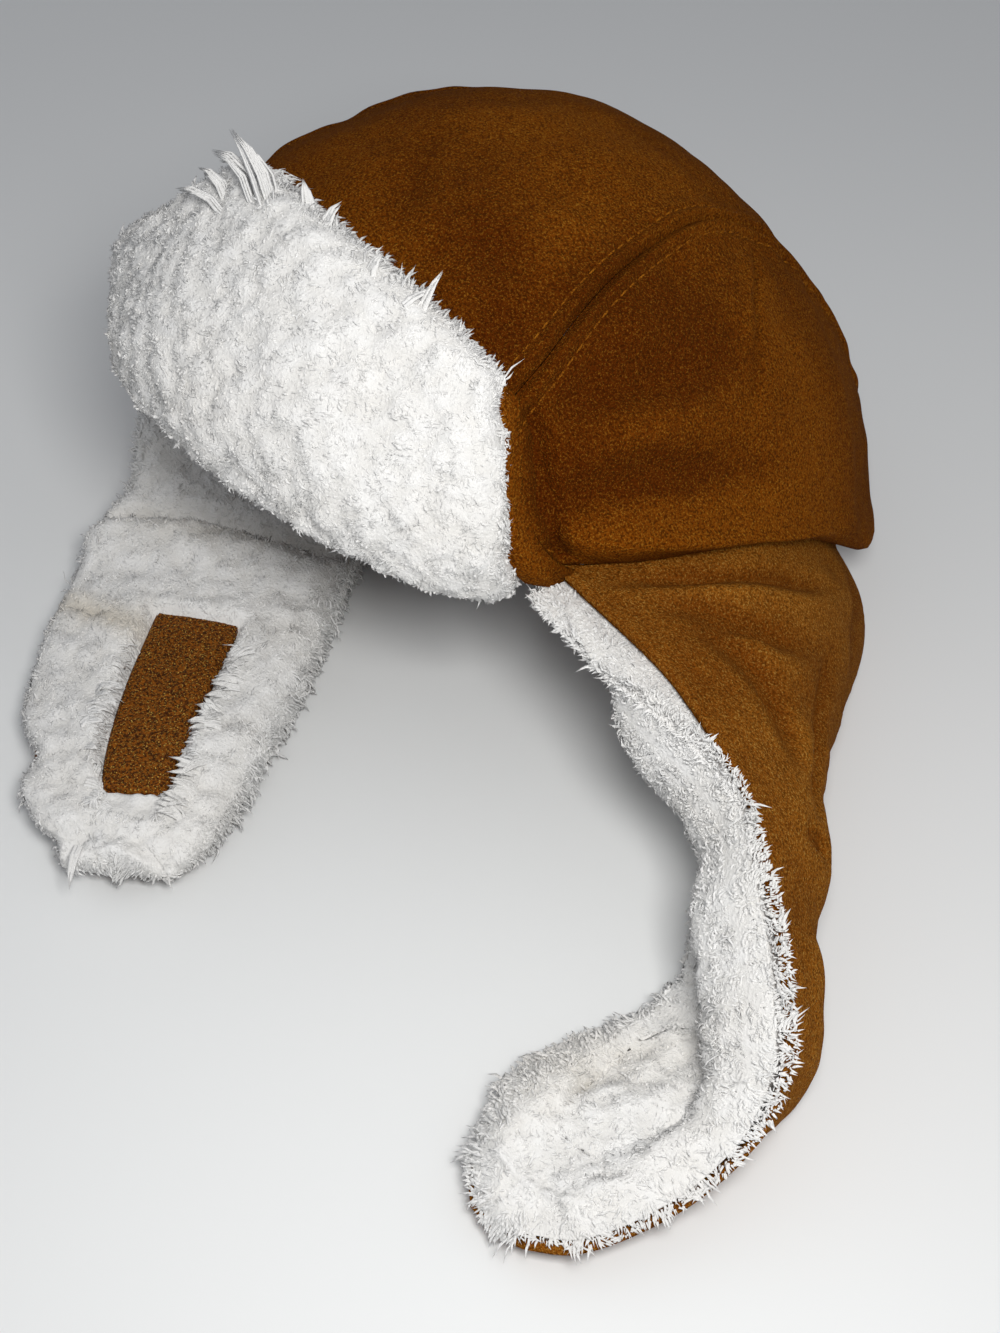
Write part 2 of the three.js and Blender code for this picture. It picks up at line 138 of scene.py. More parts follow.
def crown_surface(direction, inset=0.0):
    """The crown over a direction: an ellipsoid with a blunt top, a rim that tucks in and
    climbs over each ear, ridges along the long seams and three dents."""
    x, y, z = direction[..., 0], direction[..., 1], direction[..., 2]
    low = np.maximum(0, 1 - z / RIM_TUCK_HEIGHT)
    off_seam = np.abs(np.abs(x) - seam_half(np.degrees(np.arctan2(z, -y))))
    share = 1 - RIM_TUCK * low**2
    share = share + SEAM_RIDGE * np.exp(-off_seam / RIDGE_SPREAD) * np.clip(z / RIDGE_START, 0, 1)
    for dx, dy, dz, depth, spread in CROWN_DENTS:
        away = (x - dx) ** 2 + (y - dy) ** 2 + (z - dz) ** 2
        share = share - depth * np.exp(-away / spread**2)
    ear_angle = np.degrees(np.arctan2(np.abs(x), -y))
    ear = np.exp(-(((ear_angle - EAR_ANGLE) / EAR_SPREAD) ** 2)) * np.maximum(0, 1 - z / EAR_HEIGHT)
    blunt = lerp(1 - CROWN_BLUNTNESS, 1, np.abs(z) ** BLUNT_POWER)
    point = np.stack([
        x * CROWN_WIDTH / 2 * share * (1 - EAR_TUCK * ear),
        y * CROWN_LENGTH / 2 * share - CROWN_TOP_SHIFT * z**2,
        z * blunt * CROWN_DEPTH * share + EAR_RISE * ear,
    ], -1)
    return point - crown_normal(direction) * np.asarray(inset)[..., None]


def turn_y(angle):
    """The matrix that turns points about the y axis by an angle in degrees."""
    c, s = np.cos(np.radians(angle)), np.sin(np.radians(angle))
    return np.array([[c, 0, s], [0, 1, 0], [-s, 0, c]])


def turn_x(angle):
    """The matrix that turns points about the x axis by an angle in degrees."""
    c, s = np.cos(np.radians(angle)), np.sin(np.radians(angle))
    return np.array([[1, 0, 0], [0, c, -s], [0, s, c]])


CROWN_TURN = turn_y(-LEAN_SIDE) @ turn_x(-LEAN_BACK)


def on_table(points):
    """Points of the crown's own frame, moved to where the leaning crown stands."""
    return points @ CROWN_TURN.T + np.array([SETTLED / 2, SETTLED, RIM_HEIGHT])


def swell(points, size, seed):
    """Soft hills from -1 to 1: six sine waves in scattered directions, about size mm long."""
    rng = np.random.default_rng(seed)
    waves = unit(rng.normal(size=(6, 3))) * (2 * np.pi / size) * rng.uniform(0.6, 1.3, (6, 1))
    return np.sin(points @ waves.T + rng.uniform(0, 6.28, 6)).sum(-1) / 3.2


def crumbs(points, size, seed):
    """Distance to the nearest of scattered points, one in each cell of size mm, as a share."""
    cell = np.floor(points / size)
    best = np.full(points.shape[:-1], 9.0)
    for step in itertools.product((-1, 0, 1), repeat=3):
        c = cell + np.array(step)
        key = c @ np.array([127.1, 311.7, 74.7]) + seed
        at = np.stack([np.modf(np.abs(np.sin(key + k) * 43758.5453))[0] for k in (0, 1.7, 3.9)], -1)
        best = np.minimum(best, (((c + at) * size - points) ** 2).sum(-1) / size**2)
    return np.sqrt(best)


def fold_relief(places, scale, rows):
    """Height of folds at places: each row holds a path, a height, a width in mm
    and how far it fades at its ends, and falls off as a bell from its path."""
    total = np.zeros(places.shape[:-1])
    for path, height, width, fade in rows:
        path = np.array(path, float) * scale
        p = places * scale
        near = np.full(total.shape, 1e9)
        along = np.zeros(total.shape)
        for k in range(len(path) - 1):
            step = path[k + 1] - path[k]
            t = np.clip(((p - path[k]) @ step) / (step @ step), 0, 1)
            gap = np.linalg.norm(p - path[k] - t[..., None] * step, axis=-1)
            along = np.where(gap < near, (k + t) / (len(path) - 1), along)
            near = np.minimum(near, gap)
        ends = smooth(along, 0, fade) * smooth(1 - along, 0, fade) if fade else 1
        total = total + height * np.exp(-((near / width) ** 2)) * ends
    return total


# Columns: path as (angle, rise), height in mm, width in mm, fade at its ends.
CROWN_FOLDS = [
    ([(126, 65), (111.5, 59), (103.5, 53), (99, 47), (95.5, 38.5), (93, 32)], -1.0, 0.9, 0.3),
    ([(122, 66), (108.5, 60), (100.5, 54), (96, 47), (92.5, 38.5)], 0.5, 1.6, 0.4),
    ([(50, 28), (59.5, 33), (67, 37), (78.5, 42), (93.5, 46)], -2.5, 5.5, 0.4),
    ([(56, 41), (66, 45), (80, 51)], 0.8, 4.0, 0.5),
    ([(60, 24), (72, 32), (90, 37), (110, 36)], 1.1, 5.5, 0.4),
    ([(55, 12), (60, 16), (66, 20.5), (74, 25), (90, 28), (112, 27)], -2.7, 4.5, 0.4),
    ([(62, 8), (75, 12), (95, 15), (125, 12)], 2.4, 6.5, 0.3),
    ([(53, 33), (56, 27.5), (59, 20.5), (61.5, 14), (64.5, 6), (66, 3)], -2.6, 1.8, 0.15),
    ([(-6, 64), (-2, 60.5), (13.5, 52.5), (21.5, 43)], -0.9, 3.5, 0.4),
    ([(30, 52), (42, 47), (48, 38)], -0.8, 5.0, 0.5),
    ([(-40, 50), (-55, 45), (-70, 42)], -1.1, 5.0, 0.5),
    ([(-60, 20), (-80, 26), (-105, 25)], -1.2, 5.0, 0.5),
    ([(160, 12), (172, 20), (178, 34)], -1.1, 4.0, 0.5),
    ([(-150, 10), (-160, 22), (-162, 36)], -1.1, 4.5, 0.5),
    ([(132, 5), (140, 7)], 1.4, 6.0, 0),
]
# The same columns, with painted light instead of a height: painted sheen makes the fleece more
# golden where the value is positive, and painted shade makes it darker and redder where it is
# negative.
CROWN_PAINTED_LIGHT = [
    ([(21, 56), (29, 53), (37, 52)], -0.15, 10, 0),
    ([(46, 39), (48, 34)], -0.3, 6, 0),
    ([(65, 49), (73, 48), (80, 45)], -0.4, 13, 0),
    ([(63, 24), (80, 26)], -0.3, 7, 0),
    ([(108, 52), (112, 38), (112, 24)], 0.35, 10, 0),
    ([(-6, 75), (32, 86), (94, 78)], 0.35, 14, 0),
    ([(49, 56), (58, 62)], 0.2, 8, 0),
    ([(68, 20), (84, 22), (104, 22)], 0.25, 5, 0),
]
ANGLE_SCALE = np.array([1.2, 1.35])  # mm on the crown to a degree round it and up it
STITCH_OFFSET = 3.3
# Columns: distance from a long seam, height and width, all in mm. A groove lies between two
# puffed edges, with a dimpled row of topstitch and a shallow dip beside them.
SEAM_PROFILE = [
    (0, -1.6, 0.8),
    (1.7, 0.5, 0.8),
    (STITCH_OFFSET, -0.6, 0.55),
    (6.5, -0.5, 2.5),
]
PUCKERS = 38  # waves of gathered cloth along a seam, to a radian of its turn
PUCKER_HEIGHT = 0.22
HEM_ROUND = 3.6  # the rim's cloth rolls under with this radius
HEM_HANG = 1.3
CORNER_ANGLE = 131.0  # the back left corner of the rim, where the flap's gathers are
CORNER_SPREAD = 13.0
CORNER_FLARE = np.array([2.8, 4.8, -5.0])


def places_of(direction):
    """The angle and rise of directions, in degrees."""
    x, y, z = direction[..., 0], direction[..., 1], direction[..., 2]
    return np.stack([np.degrees(np.arctan2(x, -y)), np.degrees(np.arcsin(np.clip(z, -1, 1)))], -1)


def crown_relief(direction):
    """What the sewn fleece adds to the crown: bells of SEAM_PROFILE along each long seam,
    puckers beside it, the folds, a slight unevenness, and the rim rolled under."""
    x, y, z = direction[..., 0], direction[..., 1], direction[..., 2]
    turn = np.degrees(np.arctan2(z, -y))
    off = np.abs(np.abs(x) - seam_half(turn)) * CROWN_WIDTH / 2
    relief = sum(
        height * np.exp(-(((off - away) / width) ** 2)) for away, height, width in SEAM_PROFILE
    )
    pucker = np.sin(np.radians(turn) * PUCKERS + 2 * np.sin(np.radians(turn) * 9))
    relief = relief + PUCKER_HEIGHT * pucker * np.exp(-(((off - 4) / 3) ** 2))
    places = places_of(direction)
    relief = relief + fold_relief(places, ANGLE_SCALE, CROWN_FOLDS)
    points = crown_surface(direction)
    relief = relief + 0.5 * swell(points, 26, 3) + 0.22 * swell(points, 9, 4)
    hem = 1 - np.clip(places[..., 1] / HEM_ROUND, 0, 1)
    return relief * (1 - hem**2) - HEM_ROUND * 0.8 * (1 - np.sqrt(1 - hem**2))


def crown_sag(direction):
    """How the hem hangs over the ear flaps' seams, and flares at the back left, where the
    flap's gathers push it out."""
    places = places_of(direction)
    turn, rise = np.abs(places[..., 0]), places[..., 1]
    corner = np.exp(-(((places[..., 0] - CORNER_ANGLE) / CORNER_SPREAD) ** 2))
    corner = corner * (1 - smooth(rise, 0, 18))
    hang = smooth(turn, 55, 70) * (1 - smooth(turn, 110, 125)) * (1 - smooth(rise, 0, 8))
    return corner[..., None] * CORNER_FLARE - hang[..., None] * np.array([0, 0, HEM_HANG])


class Wire:
    """A shader socket that Python's operators join to others with Math nodes."""

    def __init__(self, finish, socket):
        self.finish = finish
        self.socket = socket

    def _with(self, other, operation, swapped=False):
        """A Math node on this wire and another wire or number, in either order."""
        pair = (other, self) if swapped else (self, other)
        return self.finish.node("ShaderNodeMath", {"operation": operation}, dict(enumerate(pair)))

    def __add__(self, other):
        return self._with(other, "ADD")

    def __sub__(self, other):
        return self._with(other, "SUBTRACT")

    def __mul__(self, other):
        return self._with(other, "MULTIPLY")

    def __rsub__(self, other):
        return self._with(other, "SUBTRACT", True)

    __radd__ = __add__
    __rmul__ = __mul__


class Finish:
    """A material whose nodes are all added by one method, node."""

    def __init__(self, name):
        self.material = bpy.data.materials.new(name)
        self.material.use_nodes = True
        self.nodes = self.material.node_tree.nodes
        self.shader = self.nodes["Principled BSDF"]
        self.place = self.node("ShaderNodeTexCoord", out="Object")

    def node(self, kind, settings=None, values=None, out=0):
        """Adds a node, first with its settings and then with its sockets set or linked."""
        made = self.nodes.new(kind)
        for name, value in (settings or {}).items():
            setattr(made, name, value)
        self.set(made, values or {})
        return Wire(self, made.outputs[out])

    def set(self, made, values):
        """Links a node's sockets to wires, and sets them to plain values."""
        for name, value in values.items():
            if isinstance(value, Wire):
                self.material.node_tree.links.new(value.socket, made.inputs[name])
            else:
                made.inputs[name].default_value = value

    def noise(self, scale, detail):
        """Noise on the piece's own place, scale in cycles a metre."""
        sockets = {"Vector": self.place, "Scale": scale, "Detail": detail}
        return self.node("ShaderNodeTexNoise", {}, sockets)

    def step(self, wire, low, high):
        """0 at low, 1 at high, and an S-curve between."""
        return self.node(
            "ShaderNodeMapRange", {"interpolation_type": "SMOOTHSTEP"},
            {"Value": wire, "From Min": low, "From Max": high},
        )

    def mix(self, share, a, b):
        """A colour between a and b."""
        colour = [c if isinstance(c, Wire) else (*c, 1) for c in (a, b)]
        return self.node(
            "ShaderNodeMix", {"data_type": "RGBA"}, {0: share, 6: colour[0], 7: colour[1]}, out=2
        )

    def bump(self, height, distance, strength):
        """A normal tilted by the slope of a height, distance in metres."""
        return self.node(
            "ShaderNodeBump", {}, {"Height": height, "Distance": distance, "Strength": strength}
        )


def fleece(name, deep, plain, bright):
    """Brushed fleece: short matted nap in fine crumbs, with painted shade that makes it darker
    and redder in hollows, painted sheen that makes it more golden on swells, and specks where
    single fibres shine."""
    f = Finish(name)
    fold = f.node("ShaderNodeAttribute", {"attribute_name": "fold"}, out="Fac")
    lobes = f.noise(26, 2)
    mottle = f.noise(380, 3)
    grain = f.noise(2000, 3)
    hair = f.noise(3400, 2)
    tone_and_painted_light = f.step(lobes * 0.45 + mottle * 0.3 + fold * 0.65, 0.45, 0.95)
    colour = f.mix(tone_and_painted_light, deep, plain)
    colour = f.mix(f.step(grain, 0.55, 0.35) * 0.7, colour, tuple(0.35 * c for c in deep))
    shine = f.step(grain * 0.4 + hair * 0.6, 0.53, 0.64)
    colour = f.mix(shine * (0.38 + tone_and_painted_light * 0.35), colour, bright)
    height = grain * 0.7 + mottle * 0.5 + hair * 0.4
    f.set(f.shader, {
        "Base Color": colour,
        "Roughness": 0.95,
        "Specular IOR Level": 0.02,
        "Sheen Weight": 0.04,
        "Sheen Roughness": 0.4,
        "Sheen Tint": (1.0, 0.5, 0.06, 1),
        "Normal": f.bump(height, 0.0011, 1.0),
    })
    return f.material


crown_fleece = fleece(
    "crown_fleece", (0.088, 0.017, 0.0008), (0.19, 0.048, 0.002), (0.36, 0.165, 0.017)
)


def slab_faces(across, along):
    """Quads of a closed solid between two grids of (along + 1) rows of across + 1 points."""
    layer = (across + 1) * (along + 1)
    grid = np.arange(layer).reshape(along + 1, across + 1)

    def quads(a, b, c, d):
        """One face from each four corners."""
        return np.stack([a.ravel(), b.ravel(), c.ravel(), d.ravel()], -1)

    top = quads(grid[:-1, :-1], grid[:-1, 1:], grid[1:, 1:], grid[1:, :-1])
    rim = np.concatenate([grid[0, :], grid[1:, -1], grid[-1, -2::-1], grid[-2:0:-1, 0]])
    after = np.roll(rim, -1)
    side = quads(rim, rim + layer, after + layer, after)
    return np.concatenate([top, top[:, ::-1] + layer, side])


def make_piece(name, points, faces, material, slot, soft=None, **marks):
    """A smooth closed mesh from points in mm and faces, turned to face out, riding on the
    hat. marks are named numbers, one for each point, that the material reads, and soft
    gives the normals that fur is shaded with."""
    points = points.reshape(-1, 3)
    a, b, c = (points[faces[:, k]] for k in range(3))
    volume = (a * np.cross(b, c)).sum()
    if faces.shape[1] == 4:
        volume += (a * np.cross(c, points[faces[:, 3]])).sum()
    if volume < 0:
        faces = faces[:, ::-1]
    mesh = bpy.data.meshes.new(name)
    mesh.vertices.add(len(points))
    mesh.vertices.foreach_set("co", ((points + HAT_SHIFT) * 0.001).astype(np.float32).ravel())
    mesh.loops.add(faces.size)
    mesh.loops.foreach_set("vertex_index", np.ascontiguousarray(faces, np.int32).ravel())
    mesh.polygons.add(len(faces))
    mesh.polygons.foreach_set("loop_start", np.arange(0, faces.size, faces.shape[1], dtype=np.int32))
    mesh.polygons.foreach_set("use_smooth", np.ones(len(faces), bool))
    mesh.update(calc_edges=True)
    for mark, values in marks.items():
        mesh.attributes.new(mark, "FLOAT", "POINT").data.foreach_set(
            "value", np.asarray(values, np.float32).ravel()
        )
    if soft is not None:
        mesh.normals_split_custom_set_from_vertices(soft.reshape(-1, 3).tolist())
    mesh.materials.append(material)
    piece = bpy.data.objects.new(name, mesh)
    bpy.context.scene.collection.objects.link(piece)
    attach(piece, "root")
    return piece


def crowded(count, push):
    """count + 1 steps from 0 to 1 that lie closer together near both ends."""
    t = np.linspace(0, 1, count + 1)
    return t - push * np.sin(2 * np.pi * t) / (2 * np.pi)


def declare_sheet(grid):
    """Works out a cloth's sizes from its middle surface, a grid in mm, and does nothing with
    them: its flat width is the mean run across the grid, its length the longest run along it,
    and its area that of its cells."""
    width = np.linalg.norm(np.diff(grid, axis=1), axis=-1).sum(1).mean() * 0.001
    length = np.linalg.norm(np.diff(grid, axis=0), axis=-1).sum(0).max() * 0.001
    sides = np.diff(grid, axis=1)[:-1], np.diff(grid, axis=0)[:, :-1]
    area = np.linalg.norm(np.cross(*sides), axis=-1).sum() * 1e-6
    area = min(area, width * length)


FOLD_PAINTED_LIGHT = 0.16  # painted sheen and shade: how much more golden the fleece is painted for each mm that it stands up, and how much darker and redder for each mm that it sinks
SEAM_SLIT = 0.12  # mm between two panels
EDGE_PUSH = 0.72  # how far grid lines crowd towards the seams
TOP_COLUMNS, TOP_ROWS = 72, 180
SIDE_COLUMNS, SIDE_ROWS = 120, 56
SIDE_CORNER = 34.0  # turn over the head at which a side panel's grid has its upper corners


def crown_panel(name, direction, node):
    """A panel: the crown's surface with its relief outside, and the plain one inside."""
    relief = crown_relief(direction)
    outer = crown_surface(direction) + crown_normal(direction) * relief[..., None]
    inner = crown_surface(direction, CROWN_WALL)
    points = on_table(np.stack([outer, inner])) + crown_sag(direction)
    places = places_of(direction)
    # Painted sheen and shade: the fleece is made more golden where its folds stand up and darker and
    # redder where they sink, and more so at the listed places of painted light.
    folds = fold_relief(places, ANGLE_SCALE, CROWN_FOLDS) * FOLD_PAINTED_LIGHT
    fold = np.clip(0.5 + folds + fold_relief(places, ANGLE_SCALE, CROWN_PAINTED_LIGHT), 0, 1)
    rows, columns = direction.shape[:2]
    faces = slab_faces(columns - 1, rows - 1)
    fold = np.stack([fold, fold])
    piece = make_piece(name, points, faces, crown_fleece, "brown_fleece", fold=fold)
    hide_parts(node)
    declare_sheet(points.mean(0))


seam_share = SEAM_SLIT / CROWN_WIDTH
across = crowded(TOP_COLUMNS, EDGE_PUSH)
turns = np.linspace(0, 180, TOP_ROWS + 1)[:, None]
top_directions = over_head(turns, (2 * across - 1)[None] * (seam_half(turns) - seam_share))
crown_panel(
    "crown_top_fleece", top_directions, "crown_top_panel"
)


def side_directions():
    """A patch between the rim and the long seam: its edges run along them and along the
    seam's two ends, and the inside is blended from the four edges."""
    columns, rows, corner = SIDE_COLUMNS, SIDE_ROWS, SIDE_CORNER
    up = 1 - crowded(2 * rows, EDGE_PUSH)[: rows + 1] * 2
    u, v = np.meshgrid(np.linspace(0, 1, columns + 1), up)
    v = np.clip(v, 0, 1)[::-1]

    def seam(turn):
        """The place on the long seam at a turn, as an angle and a rise in radians."""
        d = over_head(turn, seam_half(turn) + seam_share)
        return np.stack([np.arctan2(d[..., 0], -d[..., 1]), np.arcsin(d[..., 2])], -1)

    u3, v3 = u[..., None], v[..., None]
    rim = lerp(seam(0 * u), seam(0 * u + 180), u3)
    rim[..., 1] = 0
    top = seam(lerp(corner, 180 - corner, u))
    ends = lerp(seam(corner * v), seam(180 - corner * v), u3)
    low = lerp(seam(0 * u), seam(0 * u + 180), u3)
    high = lerp(seam(0 * u + corner), seam(0 * u + 180 - corner), u3)
    blend = np.degrees(lerp(rim, top, v3) + ends - lerp(low, high, v3))
    return compass(blend[..., 0], blend[..., 1])


for side, mirror in (("left", 1), ("right", -1)):
    directions = side_directions() * np.array([mirror, 1, 1])
    crown_panel(f"crown_{side}_fleece", directions, f"crown_{side}_panel")

# Topstitching. Brown thread runs in a row on each side of both long seams and holds the
# seam allowance flat; each stitch is 2.5 mm long and its ends sink into the fleece.
STITCH_LENGTH = 2.5
STITCH_PITCH = 3.2
STITCH_WIDTH = 0.5
STITCH_LIFT = 0.12
STITCH_BOW = np.array([-0.25, 0.12, 0.12, -0.25])  # mm out of the cloth along a stitch
STITCH_TAPER = np.array([0.6, 1, 1, 0.6])
STITCH_SIDES = 6
SEAM_ENDS = (9, 171)  # turns over the head between which the rows run


def tubes(centres, around_a, around_b, radii, sides):
    """Closed tubes: rings of so many sides round each centre, spanned by two unit vectors,
    closed at both ends by a point half a radius beyond."""
    count, rings = centres.shape[:2]
    angle = np.arange(sides) * 2 * np.pi / sides
    ring = (np.cos(angle)[:, None] * around_a[:, :, None]
            + np.sin(angle)[:, None] * around_b[:, :, None])
    skin = centres[:, :, None] + ring * radii[:, :, None, None]
    first = centres[:, :1] + unit(centres[:, :1] - centres[:, 1:2]) * radii[:, :1, None] * 0.5
    last = centres[:, -1:] + unit(centres[:, -1:] - centres[:, -2:-1]) * radii[:, -1:, None] * 0.5
    points = np.concatenate([skin.reshape(count, -1, 3), first, last], 1)
    faces = []
    tip = rings * sides
    for s in range(sides):
        n = (s + 1) % sides
        faces.append((tip, n, s))
        for r in range(rings - 1):
            a, b = r * sides, (r + 1) * sides
            faces += [(a + s, a + n, b + n), (a + s, b + n, b + s)]
        faces.append(((rings - 1) * sides + s, (rings - 1) * sides + n, tip + 1))
    faces = np.array(faces)[None] + (np.arange(count) * (tip + 2))[:, None, None]
    return points, faces.reshape(-1, 3)


def stitches():
    """Capsules along both sides of both seams, spaced by arc length along the seam."""
    fine = np.linspace(*SEAM_ENDS, 2000)
    points, faces, start = [], [], 0
    for side in (-1, 1):
        for shift in (-STITCH_OFFSET, STITCH_OFFSET):
            d = over_head(fine, side * (seam_half(fine) + shift / (CROWN_WIDTH / 2)))
            line = crown_surface(d) + crown_normal(d) * (crown_relief(d) + STITCH_LIFT)[:, None]
            length = np.concatenate([[0], np.linalg.norm(np.diff(line, axis=0), axis=1).cumsum()])
            starts = np.arange(2, length[-1] - 4, STITCH_PITCH)
            where = starts[:, None] + np.linspace(0, STITCH_LENGTH, 4)
            path = np.stack([np.interp(where, length, line[:, k]) for k in range(3)], -1)
            way = np.stack([np.interp(where, length, crown_normal(d)[:, k]) for k in range(3)], -1)
            path = path + way * STITCH_BOW[None, :, None]
            along = unit(np.gradient(path, axis=1))
            aside = unit(np.cross(along, way))
            radii = np.broadcast_to(STITCH_TAPER * STITCH_WIDTH / 2, path.shape[:2])
            p, f = tubes(path, aside, np.cross(aside, along), radii, STITCH_SIDES)
            points.append(p.reshape(-1, 3))
            faces.append(f + start)
            start += len(points[-1])
    return on_table(np.concatenate(points)), np.concatenate(faces)


def thread_finish():
    """Matt brown thread, mottled and bumped by the noise of its twist."""
    f = Finish("brown_thread")
    twist = f.noise(2600, 1)
    f.set(f.shader, {
        "Base Color": f.mix(f.step(twist, 0.35, 0.65), (0.1, 0.026, 0.0012), (0.26, 0.09, 0.005)),
        "Roughness": 0.8,
        "Specular IOR Level": 0.05,
        "Normal": f.bump(twist, 0.0002, 0.6),
    })
    return f.material


make_piece("crown_topstitch", *stitches(), thread_finish(), "brown_fleece")

# Front flap, outside. A fleece shell is sewn to the rim from temple to temple and turned
# up over the forehead, so that only a narrow strip of it shows beside the pile.
SHELL_THICKNESS = 2.0
FLAP_HEIGHT = 56.0
FLAP_STANDOFF = 1.3
FLAP_FLARE = 3.5
FLAP_TAPER = 11.0
FLAP_DROOP = 0.62
FLAP_END_FALL = 0.24
FLAP_INSET = 2.0  # degrees that the flap stops short of each temple
FLAP_MARGIN = 5.0
FLAP_ROWS = 40
FLAP_COLUMNS = 130
TEMPLE_PUFF = 2.6  # mm that the gathered end at the left temple swells
EDGE_THINNING = 0.72
# Painted sheen and shade on the flap shells: how much more golden the fleece is painted for each mm
# that the cloth stands up, and darker and redder for each mm that it sinks.
FLAP_FOLD_PAINTED_LIGHT = 0.18
FLAP_RISE = np.degrees(FLAP_HEIGHT / ((CROWN_LENGTH + 2 * CROWN_DEPTH) / 4))
FLAP_SPAN = 2 * np.radians(TEMPLE_ANGLE) * (CROWN_WIDTH + CROWN_LENGTH) / 4


def front_flap(u, v):
    """The flap's inner face: the crown's surface from the right temple at u = 0 to the left
    one, from the rim up, standing off more towards its top edge."""
    across = 2 * u - 1
    fall = FLAP_END_FALL * np.maximum(0, across) ** 3 + FLAP_DROOP * smooth(-across, 0.1, 0.55)
    rise = v * FLAP_RISE * (1 - fall)
    direction = compass(across * (TEMPLE_ANGLE - FLAP_INSET - FLAP_TAPER * v), rise)
    return on_table(crown_surface(direction, -(FLAP_STANDOFF + FLAP_FLARE * v * v)))


def normal_of(surface, u, v, step=1e-3):
    """The unit normal of a surface at (u, v), from two short steps along it."""
    du = surface(u + step, v) - surface(u - step, v)
    dv = surface(u, v + step) - surface(u, v - step)
    return unit(np.cross(du, dv))


def grid_of(columns, rows):
    """u across and v along a grid of so many columns and rows of cells, both from 0 to 1."""
    return np.meshgrid(np.linspace(0, 1, columns + 1), np.linspace(0, 1, rows + 1))


def cloth_shell(name, face, way, columns, rows, relief, material, node):
    """A cloth wall: its outer face with relief, and its inner face a thickness away. It
    thins towards its edges and never goes below the table."""
    u, v = grid_of(columns, rows)
    outer = face(u, v)
    inwards = way(u, v)
    edge = np.minimum.reduce([u * columns, (1 - u) * columns, v * rows, (1 - v) * rows])
    thick = SHELL_THICKNESS * lerp(EDGE_THINNING, 1, smooth(edge, 0, 2.5))
    raised = relief(u, v, outer) * smooth(edge, 0, 3)
    outer = outer - inwards * raised[..., None]
    inner = face(u, v) + inwards * (thick + np.minimum(0, -raised) * 0.5)[..., None]
    points = np.stack([outer, inner])
    points[..., 2] = np.maximum(points[..., 2], 0)
    # Painted sheen and shade: more golden where the cloth stands up, darker and redder where it
    # sinks.
    fold = np.clip(0.5 + FLAP_FOLD_PAINTED_LIGHT * np.stack([raised, raised]), 0, 1)
    piece = make_piece(name, points, slab_faces(columns, rows), material, "brown_fleece", fold=fold)
    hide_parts(node)
    declare_sheet(points.mean(0))


def flap_end(u, v):
    """The sewn end of the front flap: it widens and drops below the rim at the left temple."""
    out = 0.034 * smooth(u, 0.9, 1) * (1 - smooth(v, 0.1, 0.6))
    return front_flap(u + out, lerp(-0.15 * smooth(u, 0.9, 0.965), 1, v))


cloth_shell(
    "front_flap_fleece",
    lambda u, v: flap_end(u, v) + normal_of(flap_end, u, v) * SHELL_THICKNESS,
    lambda u, v: -normal_of(flap_end, u, v),
    FLAP_COLUMNS, FLAP_ROWS,
    lambda u, v, p: 0.25 * swell(p, 18, 11) + 0.15 * swell(p, 6, 12)
    + TEMPLE_PUFF * smooth(u, 0.945, 0.965) * (1 - smooth(u, 0.98, 1)),
    crown_fleece, "front_flap_shell",
)

# Pile of the front flap. Deep white sherpa: a knitted ground with short matted curls, and
# longer locks that stand out round the edges and where hands have pulled them.
PILE_DEPTH = 9.0
PILE_GAP = 0.7
LIFT = SHELL_THICKNESS + PILE_GAP
PILE_CLEARANCE = 0.6
PILE_ROUND = 6.5  # mm from its edge over which the pile rises to its depth
CURL_SIZE = 5.0
SMALL_CURL_SIZE = 2.4
STRAND_WIDTH = 0.76
TUFT_STRANDS = 14


def sherpa(name):
    """White pile: painted shade makes it darker in the hollows between the curls and towards the
    roots of the locks, white on their crowns, and it is a little grey and yellow where it is soiled."""
    f = Finish(name)
    shade = f.node("ShaderNodeAttribute", {"attribute_name": "shade"}, out="Fac")
    stain = f.node("ShaderNodeAttribute", {"attribute_name": "stain"}, out="Fac")
    soil = f.step(f.noise(42, 3), 0.42, 0.72)
    curl = f.noise(1600, 3)
    colour = f.mix(f.step(shade, 0.0, 0.6), (0.7, 0.69, 0.67), (0.765, 0.76, 0.75))
    colour = f.mix(soil * 0.3, colour, (0.71, 0.685, 0.645))
    colour = f.mix(f.step(curl, 0.45, 0.25) * 0.1, colour, (0.65, 0.635, 0.61))
    colour = f.mix(stain * 0.45, colour, (0.53, 0.42, 0.24))
    f.set(f.shader, {
        "Base Color": colour,
        "Roughness": 0.8,
        "Specular IOR Level": 0.2,
        "Sheen Weight": 0.2,
        "Sheen Roughness": 0.4,
        "Normal": f.bump(curl, 0.0006, 0.6),
    })
    return f.material


white_sherpa = sherpa("white_sherpa")


